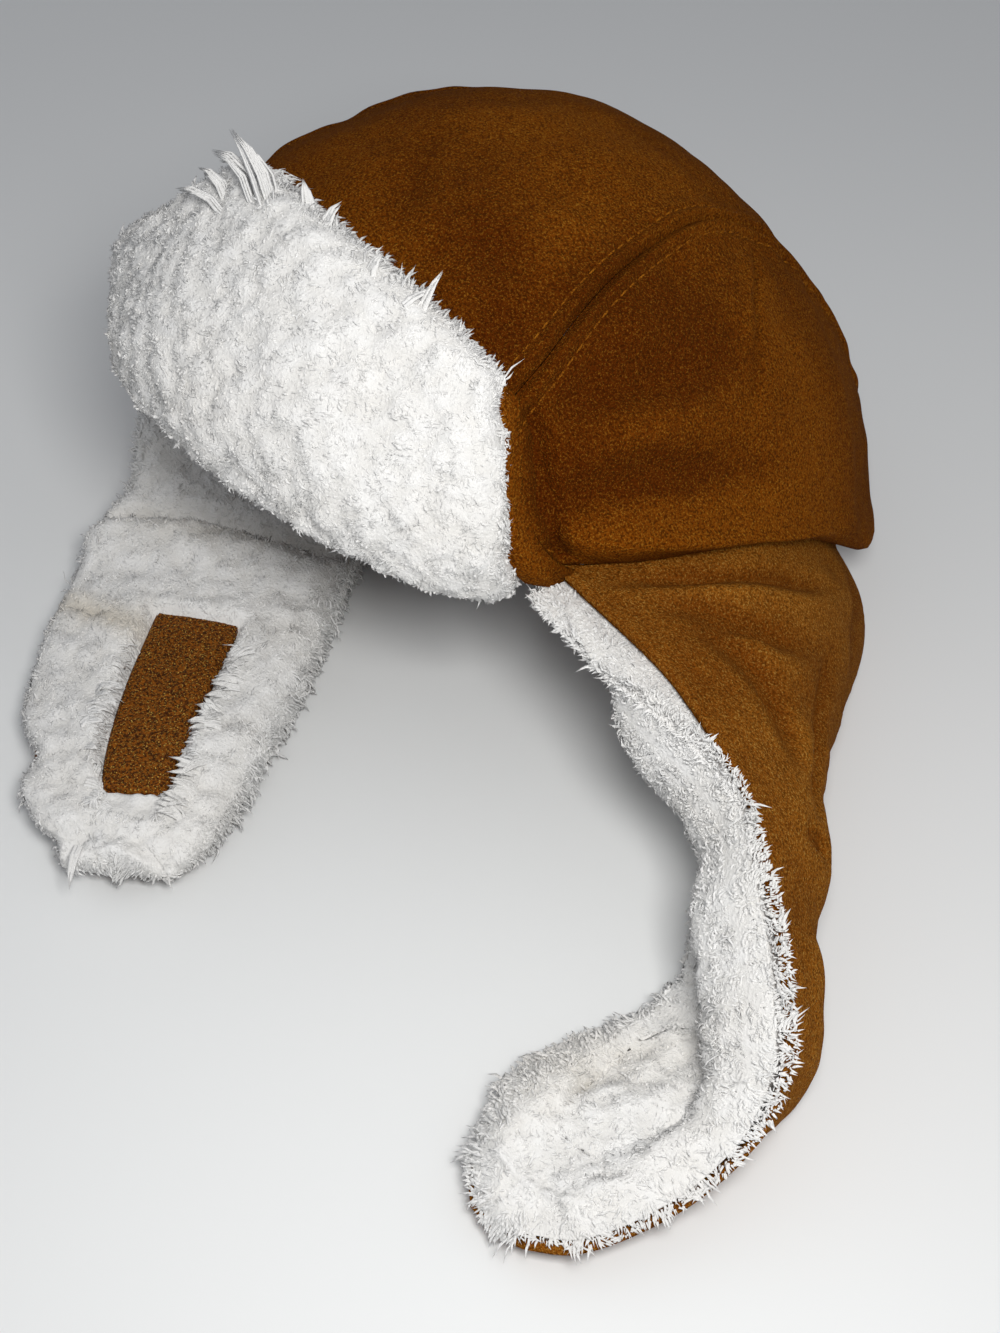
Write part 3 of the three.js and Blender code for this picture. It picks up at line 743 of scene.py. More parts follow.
def pile_top(face, way, u, v, spans, spill, depth, seed, folds=()):
    """The pile over a face: a cushion that rounds down to its edges, rolled into curls by
    cell noise at two sizes. spans is the face's width and length, and spill says how far the
    pile hangs over each of its four edges, in mm. Returns the pile's top, its root, how near
    each edge is, in mm, and its shade."""
    crease = fold_relief(np.stack([u, v], -1), np.array(spans), folds)
    wide, long = spans
    a, b = spill[0] / wide, spill[1] / wide
    start, end = spill[2] / long, spill[3] / long
    u, v = lerp(-a, 1 + b, u), lerp(-start, 1 + end, v)
    edges = np.stack([(u + a) * wide, (1 + b - u) * wide, (v + start) * long, (1 + end - v) * long])
    near = edges.min(0)
    ground = face(u, v)
    up = way(np.clip(u, 0, 1), np.clip(v, 0.0, 1))
    cushion = np.sqrt(1 - (1 - np.clip(near / PILE_ROUND, 0, 1)) ** 2)
    height = np.maximum(PILE_DEPTH * depth(np.clip(u, 0, 1), np.clip(v, 0, 1)) + crease, 1.5)
    plain = ground + up * (LIFT + height * cushion)[..., None]
    curls = 0.5 - crumbs(plain, CURL_SIZE, seed)
    small = 0.5 - crumbs(plain + 50, SMALL_CURL_SIZE, seed + 5)
    roll = 0.9 * swell(plain, 30, seed) + 0.35 * swell(plain, 8, seed)
    roll = roll + 1.3 * curls + 0.9 * small - 0.6
    top = ground + up * (LIFT + np.maximum((height + roll) * cushion, 0.25))[..., None]
    return top, ground + up * LIFT, edges, curls * 1.2 + small * 0.7 + 0.45


def grid_normals(points):
    """Unit normals of a grid of points, from its neighbours."""
    return unit(np.cross(np.gradient(points, axis=1), np.gradient(points, axis=0)))


def spikes(centres, around_a, around_b, radii):
    """Closed spikes: three points round each centre but the last, which is the tip. Returns
    points, faces and each point's way out of its spike."""
    count, rings = centres.shape[0], centres.shape[1] - 1
    angle = np.arange(3) * 2 * np.pi / 3
    ring = (np.cos(angle)[:, None] * around_a[:, :-1, None]
            + np.sin(angle)[:, None] * around_b[:, :-1, None])
    skin = centres[:, :-1, None] + ring * radii[:, :-1, None, None]
    points = np.concatenate([skin.reshape(count, -1, 3), centres[:, -1:]], 1)
    out = np.concatenate([ring.reshape(count, -1, 3), unit(centres[:, -1:] - centres[:, -2:-1])], 1)
    tip = 3 * rings
    faces = [(0, 2, 1)]
    for s, n in ((0, 1), (1, 2), (2, 0)):
        faces.append((tip - 3 + s, tip - 3 + n, tip))
        for a in range(0, tip - 3, 3):
            faces += [(a + s, a + n, a + 3 + n), (a + s, a + 3 + n, a + 3 + s)]
    faces = np.array(faces)[None] + (np.arange(count) * (tip + 1))[:, None, None]
    return points, faces.reshape(-1, 3), out


def bent_locks(root, way, lean, length, width, bend, steps, radii):
    """Tapered locks that rise along way and bend over along lean; steps says where their
    rings and their tip lie along them, and radii how thick they are there."""
    t = np.array(steps)
    rise = t * (1 - 0.38 * bend[:, None] * t)
    over = bend[:, None] * t**2
    centres = root[:, None] + length[:, None, None] * (
        way[:, None] * rise[..., None] + lean[:, None] * over[..., None]
    )
    aside = np.broadcast_to(unit(np.cross(way, lean))[:, None], centres.shape)
    along = unit(np.gradient(centres, axis=1))
    return spikes(centres, aside, np.cross(aside, along), width[:, None] / 2 * np.array(radii))


# Two kinds of lock: how far one leans out over a border, how upright it stands, how much it
# follows its lean, its width in mm, where its rings and its tip lie along it, how thick it
# is there as shares of its width, and how far its shading follows its own way.
NAP = {
    "out": 1.2, "up": 0.35, "over": 0.7, "width": (0.32, 0.52),
    "steps": (-0.2, 1.0), "radii": (1.0, 0), "facing": 0.2,
}
CURL = {
    "out": 1.6, "up": 0.6, "over": 0.5, "width": (0.4, 0.7),
    "steps": (-0.12, 0.5, 1.0), "radii": (0.9, 0.95, 0), "facing": 0.8,
}
CURLS_ALL_OVER = 0.16  # curls away from the borders, as a share of those at one
NAP_LENGTH = (0.9, 1.7)
CURL_LENGTH = (1.3, 2.7)  # away from the borders and at them


def pile_locks(top, up, edges, shade, stain, counts, seed, keep, reach, skip=0.0, draw=0.0):
    """Short nap scattered by area over the pile, that lies over together in clumps, and
    curled locks that lean out over its edges; reach scales them at each of the four. draw
    is a further way that locks lean, and skip the share of a place that stays bare. Each is
    shaded partly as the pile faces and partly as its own sides do."""
    rng = np.random.default_rng(seed)
    du, dv = np.gradient(top, axis=1), np.gradient(top, axis=0)
    area = np.linalg.norm(np.cross(du, dv), axis=-1) * (1 - skip)
    pull = np.exp(-edges / 2.0) * np.stack([np.broadcast_to(r, area.shape) for r in reach])
    border = np.clip(pull.sum(0) + np.linalg.norm(draw * np.ones(3), axis=-1) * 0.7, 0, 1.4)
    across = unit(du - unit(dv) * (du * unit(dv)).sum(-1, keepdims=True))
    along = unit(dv - unit(du) * (dv * unit(du)).sum(-1, keepdims=True))
    lean_out = draw + sum(
        way * near[..., None] for way, near in zip((-across, across, -along, along), pull)
    )
    made = []
    for lock, count in zip((NAP, CURL), counts):
        weight = area * (CURLS_ALL_OVER + border**1.5 if lock is CURL else 1)
        picked = rng.choice(weight.size, count, p=(weight / weight.sum()).ravel())
        row, column = np.unravel_index(picked, weight.shape)

        def at(field):
            """What a field holds where each lock grows."""
            return field[row, column]

        jitter = rng.uniform(-0.5, 0.5, (2, count, 1))
        root = at(top) + at(du) * jitter[0] + at(dv) * jitter[1]
        clump = np.stack([swell(root, 5.5, seed + k) for k in range(3)], -1)
        clump = clump - at(up) * (clump * at(up)).sum(-1, keepdims=True)
        scatter = rng.normal(size=(count, 3))
        lean = at(lean_out) * lock["out"] + clump * 0.9 + scatter * 0.25
        way = unit(at(up) * lock["up"] + scatter * 0.12 + lean * lock["over"])
        lean = unit(lean - way * (lean * way).sum(-1, keepdims=True))
        bend = rng.uniform(0.3, 0.8, count)
        tuft = smooth(swell(root, 4.5, seed + 9), -0.4, 0.8)
        if lock is CURL:
            tall = 1 + 0.8 * rng.random(count) ** 5
            length = lerp(*CURL_LENGTH, np.clip(at(border), 0, 1))
            length = length * rng.uniform(0.6, 1.1, count) * tall * (0.6 + 0.7 * tuft)
        else:
            length = rng.uniform(*NAP_LENGTH, count) * (0.8 + 0.35 * tuft)
        width = rng.uniform(*lock["width"], count)
        points, faces, out = bent_locks(
            root, way, lean, length, width, bend, lock["steps"], lock["radii"]
        )
        rings = len(lock["steps"]) - 1
        # Painted shade: each lock is darker towards its root and where the pile's curls have
        # hollows, over a random tone.
        tip = np.concatenate([np.repeat(np.linspace(0.45, 0.85, rings), 3), [1.0]])
        tone_and_painted_light = np.clip(0.68 + at(shade) * 0.2 + rng.normal(0, 0.08, count), 0, 1)[:, None] * tip
        dirt = np.repeat(at(stain)[:, None], points.shape[1], 1)
        facing = unit(at(up) + way * lock["facing"])[:, None]
        made.append((keep(points), faces, tone_and_painted_light, dirt, unit(0.4 * facing + 0.6 * out)))
    return made


def tufts(rows, seed):
    """Locks that hands have pulled out: at each place some strands leave a spread-out root,
    bow along a parabola and meet in one tip. A row holds the place, the way to the tip, the
    tuft's length, its width and how far it bows."""
    rng = np.random.default_rng(seed)
    made = []
    t = np.array([0, 0.35, 0.7, 1])[:, None]
    for place, way, length, width, bow in rows:
        way = unit(np.array(way, float))
        aside = unit(np.cross(way, [0, 0, 1]))
        lift = np.cross(aside, way)
        spread = np.clip(rng.normal(size=(TUFT_STRANDS, 2)), -1.5, 1.5) * width / 3
        root = place + aside * spread[:, :1] + lift * spread[:, 1:] * 0.5 - way * 2
        share = rng.uniform(0.6, 1, (TUFT_STRANDS, 1))
        tip = place + way * length * share + aside * spread[:, :1] * 0.15
        middle = (root + tip) / 2 + lift * bow + aside * spread[:, :1] * 0.35
        centres = (root[:, None] * (1 - t) * (1 - 2 * t) + middle[:, None] * 4 * t * (1 - t)
                   + tip[:, None] * t * (2 * t - 1))
        along = unit(np.gradient(centres, axis=1))
        a = unit(np.cross(along, lift))
        radii = np.broadcast_to(np.array([0.9, 1, 0.75, 0]) * STRAND_WIDTH / 2, centres.shape[:2])
        points, faces, out = spikes(centres, a, np.cross(a, along), radii)
        tone_and_painted_light = np.full(points.shape[:2], 0.9)
        made.append((points, faces, tone_and_painted_light, 0 * tone_and_painted_light, unit(out + 0.4 * lift)))
    return made


def lock_piece(name, parts):
    """One mesh of all the locks of a pile."""
    faces, start = [], 0
    for points, own, *_ in parts:
        faces.append(own + start)
        start += points.shape[0] * points.shape[1]
    points, tone_and_painted_light, dirt, soft = (
        np.concatenate([part[k].reshape(-1, *part[k].shape[2:]) for part in parts])
        for k in (0, 2, 3, 4)
    )
    make_piece(name, points, np.concatenate(faces), white_sherpa, "white_pile",
               soft=soft, shade=tone_and_painted_light, stain=dirt)


def pile_piece(name, node, top, root, shade, stain):
    """The pile's ground: a closed mesh between its curled top and its root."""
    rows, columns = top.shape[:2]
    # Painted shade: the ground is darker in the hollows between its curls, and darkest on its root.
    shade = np.stack([np.clip(shade, 0, 1) * 0.75, np.zeros(shade.shape)])
    stain = np.stack([stain, stain])
    faces = slab_faces(columns - 1, rows - 1)
    piece = make_piece(name, np.stack([top, root]), faces, white_sherpa, "white_pile",
                       shade=shade, stain=stain)
    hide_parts(node)


def inside_margins(u, v):
    """The front flap's face between its two bare ends."""
    margin = FLAP_MARGIN / FLAP_SPAN
    return front_flap(lerp(margin, 1 - margin, u), v)


def out_of_flap(u, v):
    """The front flap's way out, there."""
    return normal_of(inside_margins, u, v)


FRONT_PILE_COLUMNS = 170
FRONT_PILE_ROWS = 66
u, v = grid_of(FRONT_PILE_COLUMNS, FRONT_PILE_ROWS)
top, root, edges, shade = pile_top(
    inside_margins, out_of_flap, u, v, (FLAP_SPAN, FLAP_HEIGHT), (1.5, 0.3, 2.5, 0.6),
    lambda u, v: lerp(0.7, 0.93, smooth(u, 0.1, 0.45)), 21,
)
clean = np.zeros(shade.shape)
pile_piece("front_flap_pile", "front_flap_sherpa", top, root, shade, clean)
up = unit(grid_normals(top) + 0.8 * out_of_flap(u, v))
# Ways in which the tufts point, as the camera sees them.
UP_LEFT = np.array([-0.8, -0.25, 0.55])
UP_RIGHT = np.array([-0.1, 0.55, 0.75])


def on_pile(u, v):
    """The place on the front flap's pile that is nearest to (u, v)."""
    return top[int(round(v * FRONT_PILE_ROWS)), int(round(u * FRONT_PILE_COLUMNS))]


# Columns: place, way to the tip, then length, width and bow in mm.
TUFTS = [
    (on_pile(0.542, 0.93), UP_LEFT + [0.1, 0.1, 0.25], 15, 4.6, 2.5),
    (on_pile(0.517, 0.9), UP_LEFT + [0, 0, -0.1], 14, 3.6, 4.0),
    (on_pile(0.458, 0.84), UP_LEFT + [-0.2, 0, -0.1], 8, 2.4, 2.5),
    (on_pile(0.483, 0.79), UP_LEFT + [0, -0.2, -0.35], 11, 1.8, 2.5),
    (on_pile(0.6, 0.98), UP_LEFT + [0.3, 0.4, 0.3], 5, 2.4, 1.0),
    (on_pile(0.66, 0.98), UP_RIGHT, 5, 2.4, 1.5),
    (on_pile(0.77, 0.96), UP_RIGHT, 4, 2.0, 1.2),
    (on_pile(0.865, 0.97), UP_RIGHT, 8, 1.8, 0.8),
    (on_pile(0.85, 0.95), UP_RIGHT + [0.1, 0.3, -0.6], 5, 1.5, 0.8),
]
lock_piece("front_flap_locks", pile_locks(
    top, up, edges, shade, clean, (30000, 6500), 31, lambda p: p, (0.9, 0.12, 0.8, 0.9)
) + tufts(TUFTS, 33))

# Ear flaps, outside. Each is a long fleece strap gathered into the side of the rim. They
# lie open: the left one stands on its edge, in fan folds, and the right one lies flat.
STRAP_WIDTH = 62.0
STRAP_LENGTH = 250.0
LEFT_REACH = 100.0
RIGHT_REACH = 150.0
SEAM_GAP = 0.4
# Columns: frontOut, frontAhead, frontUp, backOut, backAhead, backUp, belly, one row for
# each section from the rim to the tip, as shares of the reach and of the strap's width.
LEFT_SECTIONS = np.array([
    [0.141, 0.26, 0.94, -0.15, -0.61, 0.02, 0.22],
    [0.245, 0.25, 0.92, 0.1, -0.33, 0, 0.22],
    [0.385, 0.25, 0.87, 0.275, 0.02, 0, 0.28],
    [0.515, 0.26, 0.81, 0.415, 0.2, 0, 0.3],
    [0.635, 0.31, 0.76, 0.515, 0.31, 0, 0.25],
    [0.745, 0.35, 0.69, 0.575, 0.41, 0, 0.28],
    [0.84, 0.395, 0.6, 0.585, 0.51, 0.02, 0.36],
    [0.915, 0.44, 0.47, 0.575, 0.61, 0.04, 0.38],
    [0.96, 0.52, 0.31, 0.57, 0.71, 0.06, 0.3],
    [0.97, 0.64, 0.19, 0.59, 0.81, 0.09, 0.18],
    [0.96, 0.77, 0.14, 0.635, 0.89, 0.09, 0.1],
    [0.93, 0.88, 0.11, 0.685, 0.955, 0.08, 0.07],
    [0.875, 0.95, 0.1, 0.75, 0.99, 0.08, 0.04],
])
RIGHT_SECTIONS = np.array([
    [0.137, 0.44, 0.45, 0.23, -0.2, 0, 0.1],
    [0.183, 0.493, 0.22, 0.343, 0.09, 0, 0.06],
    [0.233, 0.56, 0.08, 0.477, 0.257, 0.02, 0.05],
    [0.33, 0.65, 0.05, 0.59, 0.363, 0.03, 0.05],
    [0.45, 0.747, 0.04, 0.697, 0.463, 0.04, 0.05],
    [0.573, 0.827, 0.04, 0.797, 0.567, 0.04, 0.05],
    [0.701, 0.88, 0.04, 0.879, 0.656, 0.04, 0.05],
    [0.803, 0.88, 0.04, 0.927, 0.727, 0.04, 0.05],
    [0.863, 0.863, 0.04, 0.93, 0.783, 0.04, 0.05],
])


def ear_flap(side):
    """The outer face of an ear flap as a function of u, from its front edge to its back
    one, and v, from the rim to the tip: each section is a bow through its front, its
    middle and its back, and the sections are joined by smooth curves."""
    sections = LEFT_SECTIONS if side > 0 else RIGHT_SECTIONS
    start, reach = (CROWN_WIDTH / 2, LEFT_REACH) if side > 0 else (-CROWN_WIDTH / 2, RIGHT_REACH)
    sizes = np.array([reach, -reach, STRAP_WIDTH])
    front = sections[:, 0:3] * sizes + [start, 0, 0]
    back = sections[:, 3:6] * sizes + [start, 0, 0]
    middle = (front + back) / 2
    ahead = np.concatenate([middle[1:], middle[-1:]]) - np.concatenate([middle[:1], middle[:-1]])
    middle = middle + unit(np.cross(front - back, ahead)) * sections[:, 6:7] * STRAP_WIDTH
    nape = 180 - side * np.degrees(SEAM_GAP / (CROWN_WIDTH / 2))
    temple = side * TEMPLE_ANGLE + (360 if side < 0 else 0)
    last = len(sections) + 1

    def face(u, v):
        """The point at u along the bow that a smooth curve through the sections has at v."""
        u, v = np.broadcast_arrays(np.asarray(u, float), np.asarray(v, float))
        s = u[..., None]
        rim = crown_surface(compass(lerp(temple, nape, u), 0 * u), CROWN_WALL / 6)
        rim = on_table(rim - np.array([0, 0, 2 * SEAM_GAP]))
        bows = [
            a * (1 - s) * (1 - 2 * s) + b * 4 * s * (1 - s) + c * s * (2 * s - 1)
            for a, b, c in zip(front, middle, back)
        ]
        rows = np.stack([rim, lerp(rim, bows[0], 0.4), *bows])
        at = np.clip(v, 0, 1) * last
        k = np.minimum(np.floor(at).astype(int), last - 1)
        near = [
            np.take_along_axis(rows, np.clip(k + step, 0, last)[None, ..., None], 0)[0]
            for step in (-1, 0, 1, 2)
        ]
        point = catmull(*near, (at - k)[..., None])
        point = point + (near[2] - near[1]) * (v * last - at)[..., None]
        point[..., 2] = np.maximum(point[..., 2], 0)
        return point

    return face


CROWN_UP = CROWN_TURN @ np.array([0, 0, 1.0])


def inward_of(face, side):
    """The way from an ear flap's outer face to its inner one, level near the rim."""

    def way(u, v):
        """The face's normal without the part of it that points up the crown near the rim."""
        inwards = normal_of(face, u, v) * side
        rise = np.maximum(0, inwards @ CROWN_UP) * (1 - smooth(v, 0.01, 0.09))
        return unit(inwards - CROWN_UP * rise[..., None])

    return way


# Columns: path as (u, v), height in mm, width in mm, fade at its ends.
LEFT_FOLDS = [
    ([(0.02, 0.03), (0.18, 0.07), (0.4, 0.105), (0.66, 0.135)], -1.5, 2.6, 0.3),
    ([(0.05, 0.06), (0.2, 0.1), (0.42, 0.135), (0.66, 0.155)], 0.9, 2.6, 0.4),
    ([(0.08, 0.085), (0.14, 0.107), (0.215, 0.145), (0.345, 0.172), (0.56, 0.188)], -1.9, 2.4, 0.35),
    ([(0.1, 0.11), (0.18, 0.15), (0.3, 0.19), (0.48, 0.205)], 0.9, 2.4, 0.4),
    ([(0.1, 0.12), (0.145, 0.143), (0.24, 0.207), (0.28, 0.245), (0.29, 0.29)], -1.8, 2.4, 0.35),
    ([(0.35, 0.215), (0.36, 0.25), (0.34, 0.3)], 0.9, 3.0, 0.5),
    ([(0.585, 0.17), (0.505, 0.218), (0.46, 0.26), (0.25, 0.355)], -1.6, 2.2, 0.3),
    ([(0.2, 0.345), (0.29, 0.353), (0.4, 0.35)], -2.2, 3.0, 0.3),
    ([(0.2, 0.4), (0.24, 0.5), (0.2, 0.6)], 0.7, 5.0, 0.5),
    ([(0.8, 0.06), (0.82, 0.14), (0.75, 0.22)], -1.6, 4.0, 0.5),
]
RIGHT_FOLDS = [
    ([(0.2, 0.04), (0.3, 0.12), (0.28, 0.2)], -1.4, 4.0, 0.5),
    ([(0.6, 0.05), (0.62, 0.12), (0.55, 0.22)], -1.4, 4.0, 0.5),
    ([(0.0, 0.4), (0.5, 0.38), (1.0, 0.4)], -1.0, 5.0, 0.2),
]
STRAP_SCALE = np.array([STRAP_WIDTH, STRAP_LENGTH])

# A lighter, more golden copy of the crown's fleece for the ear flaps: painted light, as they face
# the light more.
flap_fleece_painted_light = fleece("flap_fleece_painted_light", (0.17, 0.044, 0.003), (0.31, 0.105, 0.01), (0.5, 0.31, 0.07))
left_flap = ear_flap(1)
right_flap = ear_flap(-1)
cloth_shell(
    "left_flap_fleece", left_flap, inward_of(left_flap, 1), 60, 180,
    lambda u, v, p: 1.4 * fold_relief(np.stack([u, v], -1), STRAP_SCALE, LEFT_FOLDS)
    + 0.3 * swell(p, 17, 41) + 0.12 * swell(p, 6, 42),
    flap_fleece_painted_light, "left_flap_shell",
)
cloth_shell(
    "right_flap_fleece", right_flap, inward_of(right_flap, -1), 50, 130,
    lambda u, v, p: fold_relief(np.stack([u, v], -1), STRAP_SCALE, RIGHT_FOLDS)
    + 0.3 * swell(p, 17, 43) + 0.12 * swell(p, 6, 44),
    flap_fleece_painted_light, "right_flap_shell",
)

# Pile of the ear flaps. The same sherpa lines both straps and hangs over their edges; it
# swells behind the left flap's standing edge and is cut short under the patch.
PILE_START = 0.015
RIGHT_PILE_LENGTH = 235.0
LIP_SWELL = 1.1
LIP_SPILL = 6.5  # mm further that the left pile's front edge spills near the rim
PATCH_CLEARANCE = 1.15  # the patch lies over the short pile's depth times this
PATCH_WIDTH = 17.0
PATCH_LENGTH = 57.0
PATCH_THICKNESS = 2.0
PATCH_MIDDLE = (0.56, 0.705)
PATCH_SINK = 0.35


def above_table(points):
    """Points lifted to PILE_CLEARANCE over the table where they are lower."""
    points[..., 2] = np.maximum(points[..., 2], PILE_CLEARANCE)
    return points


def trimmed(face):
    """A flap's face without the bare strip at the rim and the part hidden at the nape."""
    return lambda u, v: face(u * lerp(0.58, 1, smooth(v, 0.08, 0.3)), lerp(PILE_START, 1, v))


def ear_depth(u, v):
    """The share of the pile's depth: thin under the crown, and thinner at the tip."""
    return lerp(0.3, 1, smooth(v, 0.04, 0.26)) * lerp(1, 0.7, smooth(v, 0.9, 1))


def lip_depth(u, v):
    """ear_depth with a swelling behind the left flap's standing edge."""
    swelling = (1 - smooth(u, 0.05, 0.45)) * smooth(v, 0.1, 0.25) * (1 - smooth(v, 0.6, 0.75))
    return ear_depth(u, v) * (1 + LIP_SWELL * swelling)


def patch_half():
    """Half the patch's width and length, in u and v."""
    u, v = PATCH_MIDDLE
    wide = np.linalg.norm(right_flap(u + 0.05, v) - right_flap(u - 0.05, v)) / 0.1
    long = np.linalg.norm(right_flap(u, v + 0.05) - right_flap(u, v - 0.05)) / 0.1
    return PATCH_WIDTH / 2 / wide, PATCH_LENGTH / 2 / long


HALF_U, HALF_V = patch_half()


def patch_depth(u, v):
    """ear_depth cut down to PATCH_SINK under the patch."""
    aside = smooth(np.abs(u - PATCH_MIDDLE[0]), HALF_U - 0.02, HALF_U + 0.05)
    beyond = smooth(np.abs(v - PATCH_MIDDLE[1]), HALF_V - 0.005, HALF_V + 0.015)
    return ear_depth(u, v) * lerp(PATCH_SINK, 1, np.maximum(aside, beyond))


def ear_pile(side, face, depth, spill, length, u, v, seed, folds):
    """Top, root, edges, shade and way up of an ear flap's pile. The way up is that of its
    own slope, blended half with the flap's way in, and doesn't point back where it turns
    over."""
    bare = trimmed(face)
    way = inward_of(bare, side)
    top, root, edges, shade = pile_top(
        bare, way, u, v, (STRAP_WIDTH, length), spill, depth, seed, folds
    )
    ground = grid_normals(top)
    ground = ground * np.sign((ground * way(u, v)).sum())
    turned = (ground * way(u, v)).sum(-1, keepdims=True) < -0.35
    up = unit(np.where(turned, -ground, ground) + 0.5 * way(u, v))
    return above_table(top), above_table(root), edges, shade, up


def bell(u, v, middle, size):
    """1 at a place of the flap and 0 away from it."""
    return np.exp(-(((u - middle[0]) / size[0]) ** 2) - ((v - middle[1]) / size[1]) ** 2)


# Columns: path as (u, v), height in mm, width in mm, fade at its ends.
LEFT_CREASES = [
    ([(0.985, 0.472), (0.94, 0.595), (0.815, 0.718), (0.775, 0.785)], -3.2, 5.0, 0.25),
    ([(0.5, 0.62), (0.55, 0.75), (0.5, 0.88)], 1.5, 7.0, 0.4),
]
RIGHT_CREASES = [
    ([(0, 0.43), (0.135, 0.393), (0.4, 0.367), (0.68, 0.383), (1, 0.42)], -4.5, 3.0, 0.1),
    ([(0, 0.475), (0.135, 0.438), (0.4, 0.412), (0.68, 0.428), (1, 0.46)], 2.6, 7.0, 0.1),
    ([(0, 0.545), (0.3, 0.545)], -1.2, 2.0, 0.4),
]

u, v = grid_of(64, 200)
lip = LIP_SPILL * smooth(v, 0.0, 0.06) * (1 - smooth(v, 0.18, 0.34))
spill = (0.8 + lip, 2.5 * smooth(v, 0.28, 0.36), 0.0, 3.0)
top, root, edges, shade, up = ear_pile(
    1, left_flap, lip_depth, spill, STRAP_LENGTH, u, v, 51, LEFT_CREASES
)
stain = 0.35 * bell(u, v, (0.9, 0.7), (0.2, 0.12))
pile_piece("left_flap_pile", "left_flap_sherpa", top, root, shade, stain)
# No locks grow where the flap is inside the crown.
in_crown = np.maximum((v < 0.03) & (u > 0.25), (u > 0.5) & (v < 0.27))
left_locks = pile_locks(
    top, up, edges, shade, stain, (26000, 5500), 61, above_table,
    (0.7, smooth(v, 0.3, 0.4), 0.0, 1.3), in_crown,
)
# More locks grow on the underside of the pile where its edge spills over the shell.
under = grid_normals(root)
under = -under * np.sign((under * up).sum())
left_locks += pile_locks(
    root, under, edges, shade, stain, (5000, 1200), 63, above_table, (0.6, 0.0, 0.0, 0.0),
    1.0 - (u < 0.25) * (v < 0.34),
)
lock_piece("left_flap_locks", left_locks)

u, v = grid_of(60, 180)
# At two places the pile draws back from the strap's left edge, and its end is rounded.
bare = 0.8 * bell(u, v, (0, 0.758), (0.6, 0.03)) + 0.8 * bell(u, v, (0, 0.92), (0.6, 0.03))
spill = (2.0 - 7.0 * bare, 2.5, 0.0, 2.0 + 20 * (1 - (2 * u - 1) ** 2))
top, root, edges, shade, up = ear_pile(
    -1, right_flap, patch_depth, spill, RIGHT_PILE_LENGTH, u, v, 71, RIGHT_CREASES
)
stain = 0.8 * bell(u, v, (0.2, 0.545), (0.3, 0.018)) + 0.3 * bell(u, v, (0.5, 0.4), (0.5, 0.03))
pile_piece("right_flap_pile", "right_flap_sherpa", top, root, shade, stain)
# No locks grow under the patch, and those just outside its edges lean over them.
off_u, off_v = u - PATCH_MIDDLE[0], v - PATCH_MIDDLE[1]
covered = (np.abs(off_u) < HALF_U - 0.03) & (np.abs(off_v) < HALF_V - 0.01)
beside = np.exp(-(((np.abs(off_u) - HALF_U - 0.02) / 0.05) ** 2)) * (np.abs(off_v) < HALF_V + 0.01)
past = np.exp(-(((np.abs(off_v) - HALF_V - 0.006) / 0.014) ** 2)) * (np.abs(off_u) < HALF_U + 0.04)
towards = (unit(np.gradient(top, axis=1)) * (-np.sign(off_u) * beside)[..., None]
           + unit(np.gradient(top, axis=0)) * (-np.sign(off_v) * past)[..., None])
right_locks = pile_locks(
    top, up, edges, shade, stain, (28000, 6000), 81, above_table, (0.8 * (1 - bare), 0.9, 0.0, 1.2),
    np.maximum(covered, 1 - smooth(v, 0.02, 0.12)), towards * 1.3,
)


def over_patch(side, count, length):
    """Tufts that lie from one side of the patch, -1 or 1, over its edge, at random places."""
    rng = np.random.default_rng(85 + side)
    rows = []
    for along in rng.uniform(-0.98, 0.98, count):
        i = int(round((PATCH_MIDDLE[1] + HALF_V * along) * (len(top) - 1)))
        beyond = HALF_U + 0.02 + 0.04 * rng.random()
        j = int(round((PATCH_MIDDLE[0] + side * beyond) * (top.shape[1] - 1)))
        way = unit(top[i, j] - top[i, j + side]) + 0.3 * up[i, j] + rng.normal(0, 0.35, 3)
        rows.append((top[i, j], way, length * rng.uniform(0.6, 1.2), 1.7, 0.8))
    return tufts(rows, 87 + side)


# A loose curl hangs from the end of the strap.
end_curl = [(top[-6, 12], unit(top[-6, 12] - top[-14, 14]) + [0.4, 0.1, -0.2], 8, 1.4, 1.5)]
lock_piece("right_flap_locks", right_locks + over_patch(1, 40, 4.6) + over_patch(-1, 24, 3.0)
           + tufts(end_curl, 96))

# Closure patch. A strip of brown loop tape is sewn on the right flap's pile, which parts
# round it; its nap is matted into shiny grains.


def patch_finish():
    """Dark brown loops, lighter on their grains, some of which glint."""
    f = Finish("loop_tape")
    grain = f.noise(1600, 2)
    glint = f.step(f.noise(2600, 1), 0.58, 0.7)
    colour = f.mix(f.step(grain, 0.36, 0.62), (0.06, 0.015, 0.0008), (0.27, 0.08, 0.004))
    f.set(f.shader, {
        "Base Color": f.mix(glint * 0.8, colour, (0.85, 0.5, 0.1)),
        "Roughness": 0.7 - glint * 0.2,
        "Specular IOR Level": 0.15,
        "Normal": f.bump(grain + glint * 0.5, 0.0012, 1.0),
    })
    return f.material


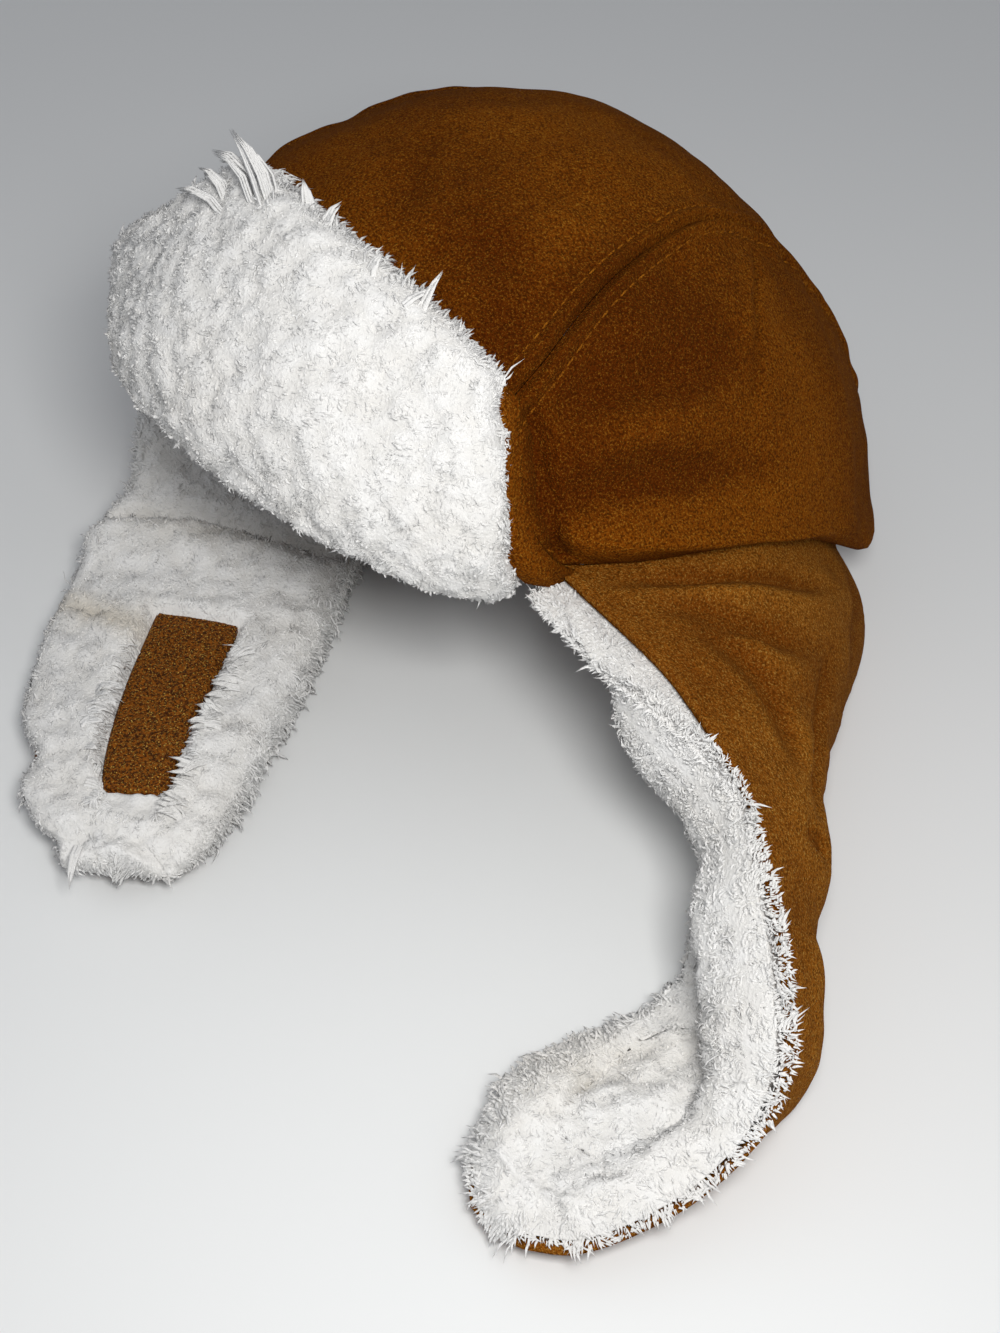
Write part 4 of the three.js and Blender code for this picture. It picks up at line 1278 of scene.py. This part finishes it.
def patch_points(columns, rows):
    """A strip on the right flap, over the short pile: its edges round down to its root and
    its top is rough with cell noise."""
    s, t = np.meshgrid(np.linspace(-1, 1, columns + 1), np.linspace(-1, 1, rows + 1))
    u, v = PATCH_MIDDLE[0] + HALF_U * s, PATCH_MIDDLE[1] + HALF_V * t
    ground, up = right_flap(u, v), -normal_of(right_flap, u, v)
    low = SHELL_THICKNESS + PILE_GAP + SEAM_GAP + PILE_DEPTH * PATCH_SINK * PATCH_CLEARANCE
    near = np.minimum((1 - np.abs(s)) * PATCH_WIDTH / 2, (1 - np.abs(t)) * PATCH_LENGTH / 2)
    thick = PATCH_THICKNESS * np.sqrt(1 - (1 - np.clip(near / 1.2, 0.08, 1)) ** 2)
    rough = 0.6 * (0.5 - crumbs(ground, 1.1, 91)) * smooth(near, 0, 1)
    top = ground + up * (low + thick + rough)[..., None]
    return np.stack([top, ground + up * low])


TAPE_COLUMNS, TAPE_ROWS = 36, 110
tape = patch_points(TAPE_COLUMNS, TAPE_ROWS)
tape_faces = slab_faces(TAPE_COLUMNS, TAPE_ROWS)
patch = make_piece("closure_tape", tape, tape_faces, patch_finish(), "hook_tape")
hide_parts("closure_patch")
declare_sheet(tape.mean(0))

# Table, light and camera. A pale table lies under a pale sky; a small key light stands by
# the camera, with broad fill lights at the other side and behind. The camera looks down at
# 45 degrees from the hat's front left.
TABLE_HALF = 3.0  # metres
CAMERA_PLACE = (298.2, -174.1, 301.2)
CAMERA_AIM = (37.332, -23.464, 0)
CAMERA_LENS = 48.6
SENSOR_WIDTH = 36
LIGHT_AIM = (20, 0, 30)
# Columns: name, place in mm, side in metres, power in watts, colour.
LIGHTS = [
    ("key_light", (296, -132, 330), 0.1, 1.25, (1.0, 0.99, 0.97)),
    ("fill_light", (-420, -380, 420), 0.7, 0.3, (0.95, 0.975, 1.0)),
    ("back_light", (150, 520, 480), 0.7, 0.15, (1.0, 0.99, 0.97)),
]
SKY_COLOUR = (0.93, 0.95, 1.0, 1)
SKY_STRENGTH = 0.31

pale = Finish("table_top")
pale.set(pale.shader, {"Base Color": (0.78, 0.79, 0.79, 1), "Roughness": 0.6})
table_mesh = bpy.data.meshes.new("table_top")
corners = [(x * TABLE_HALF, y * TABLE_HALF, 0) for x, y in ((-1, -1), (1, -1), (1, 1), (-1, 1))]
table_mesh.from_pydata(corners, [], [(0, 1, 2, 3)])
table_mesh.materials.append(pale.material)
table = bpy.data.objects.new("table_top", table_mesh)
bpy.context.scene.collection.objects.link(table)


def look_at(thing, place, aim):
    """Puts a light or camera at place, in mm in the hat's frame, looking at aim."""
    place = Vector((np.array(place) + HAT_SHIFT) * 0.001)
    aim = Vector((np.array(aim) + HAT_SHIFT) * 0.001)
    thing.location = place
    thing.rotation_euler = (aim - place).to_track_quat("-Z", "Y").to_euler()
    bpy.context.scene.collection.objects.link(thing)


for name, place, size, power, colour in LIGHTS:
    light = bpy.data.lights.new(name, "AREA")
    light.size = size
    light.energy = power
    light.color = colour
    look_at(bpy.data.objects.new(name, light), place, LIGHT_AIM)

world = bpy.data.worlds.new("room")
world.use_nodes = True
sky = world.node_tree.nodes["Background"].inputs
sky["Color"].default_value = SKY_COLOUR
sky["Strength"].default_value = SKY_STRENGTH
bpy.context.scene.world = world
bpy.context.scene.view_settings.view_transform = "Standard"

camera = bpy.data.cameras.new("camera")
camera.lens = CAMERA_LENS
camera.sensor_width = SENSOR_WIDTH
camera.clip_start = 0.01
camera_object = bpy.data.objects.new("camera", camera)
look_at(camera_object, CAMERA_PLACE, CAMERA_AIM)
bpy.context.scene.camera = camera_object

bpy.context.view_layer.update()
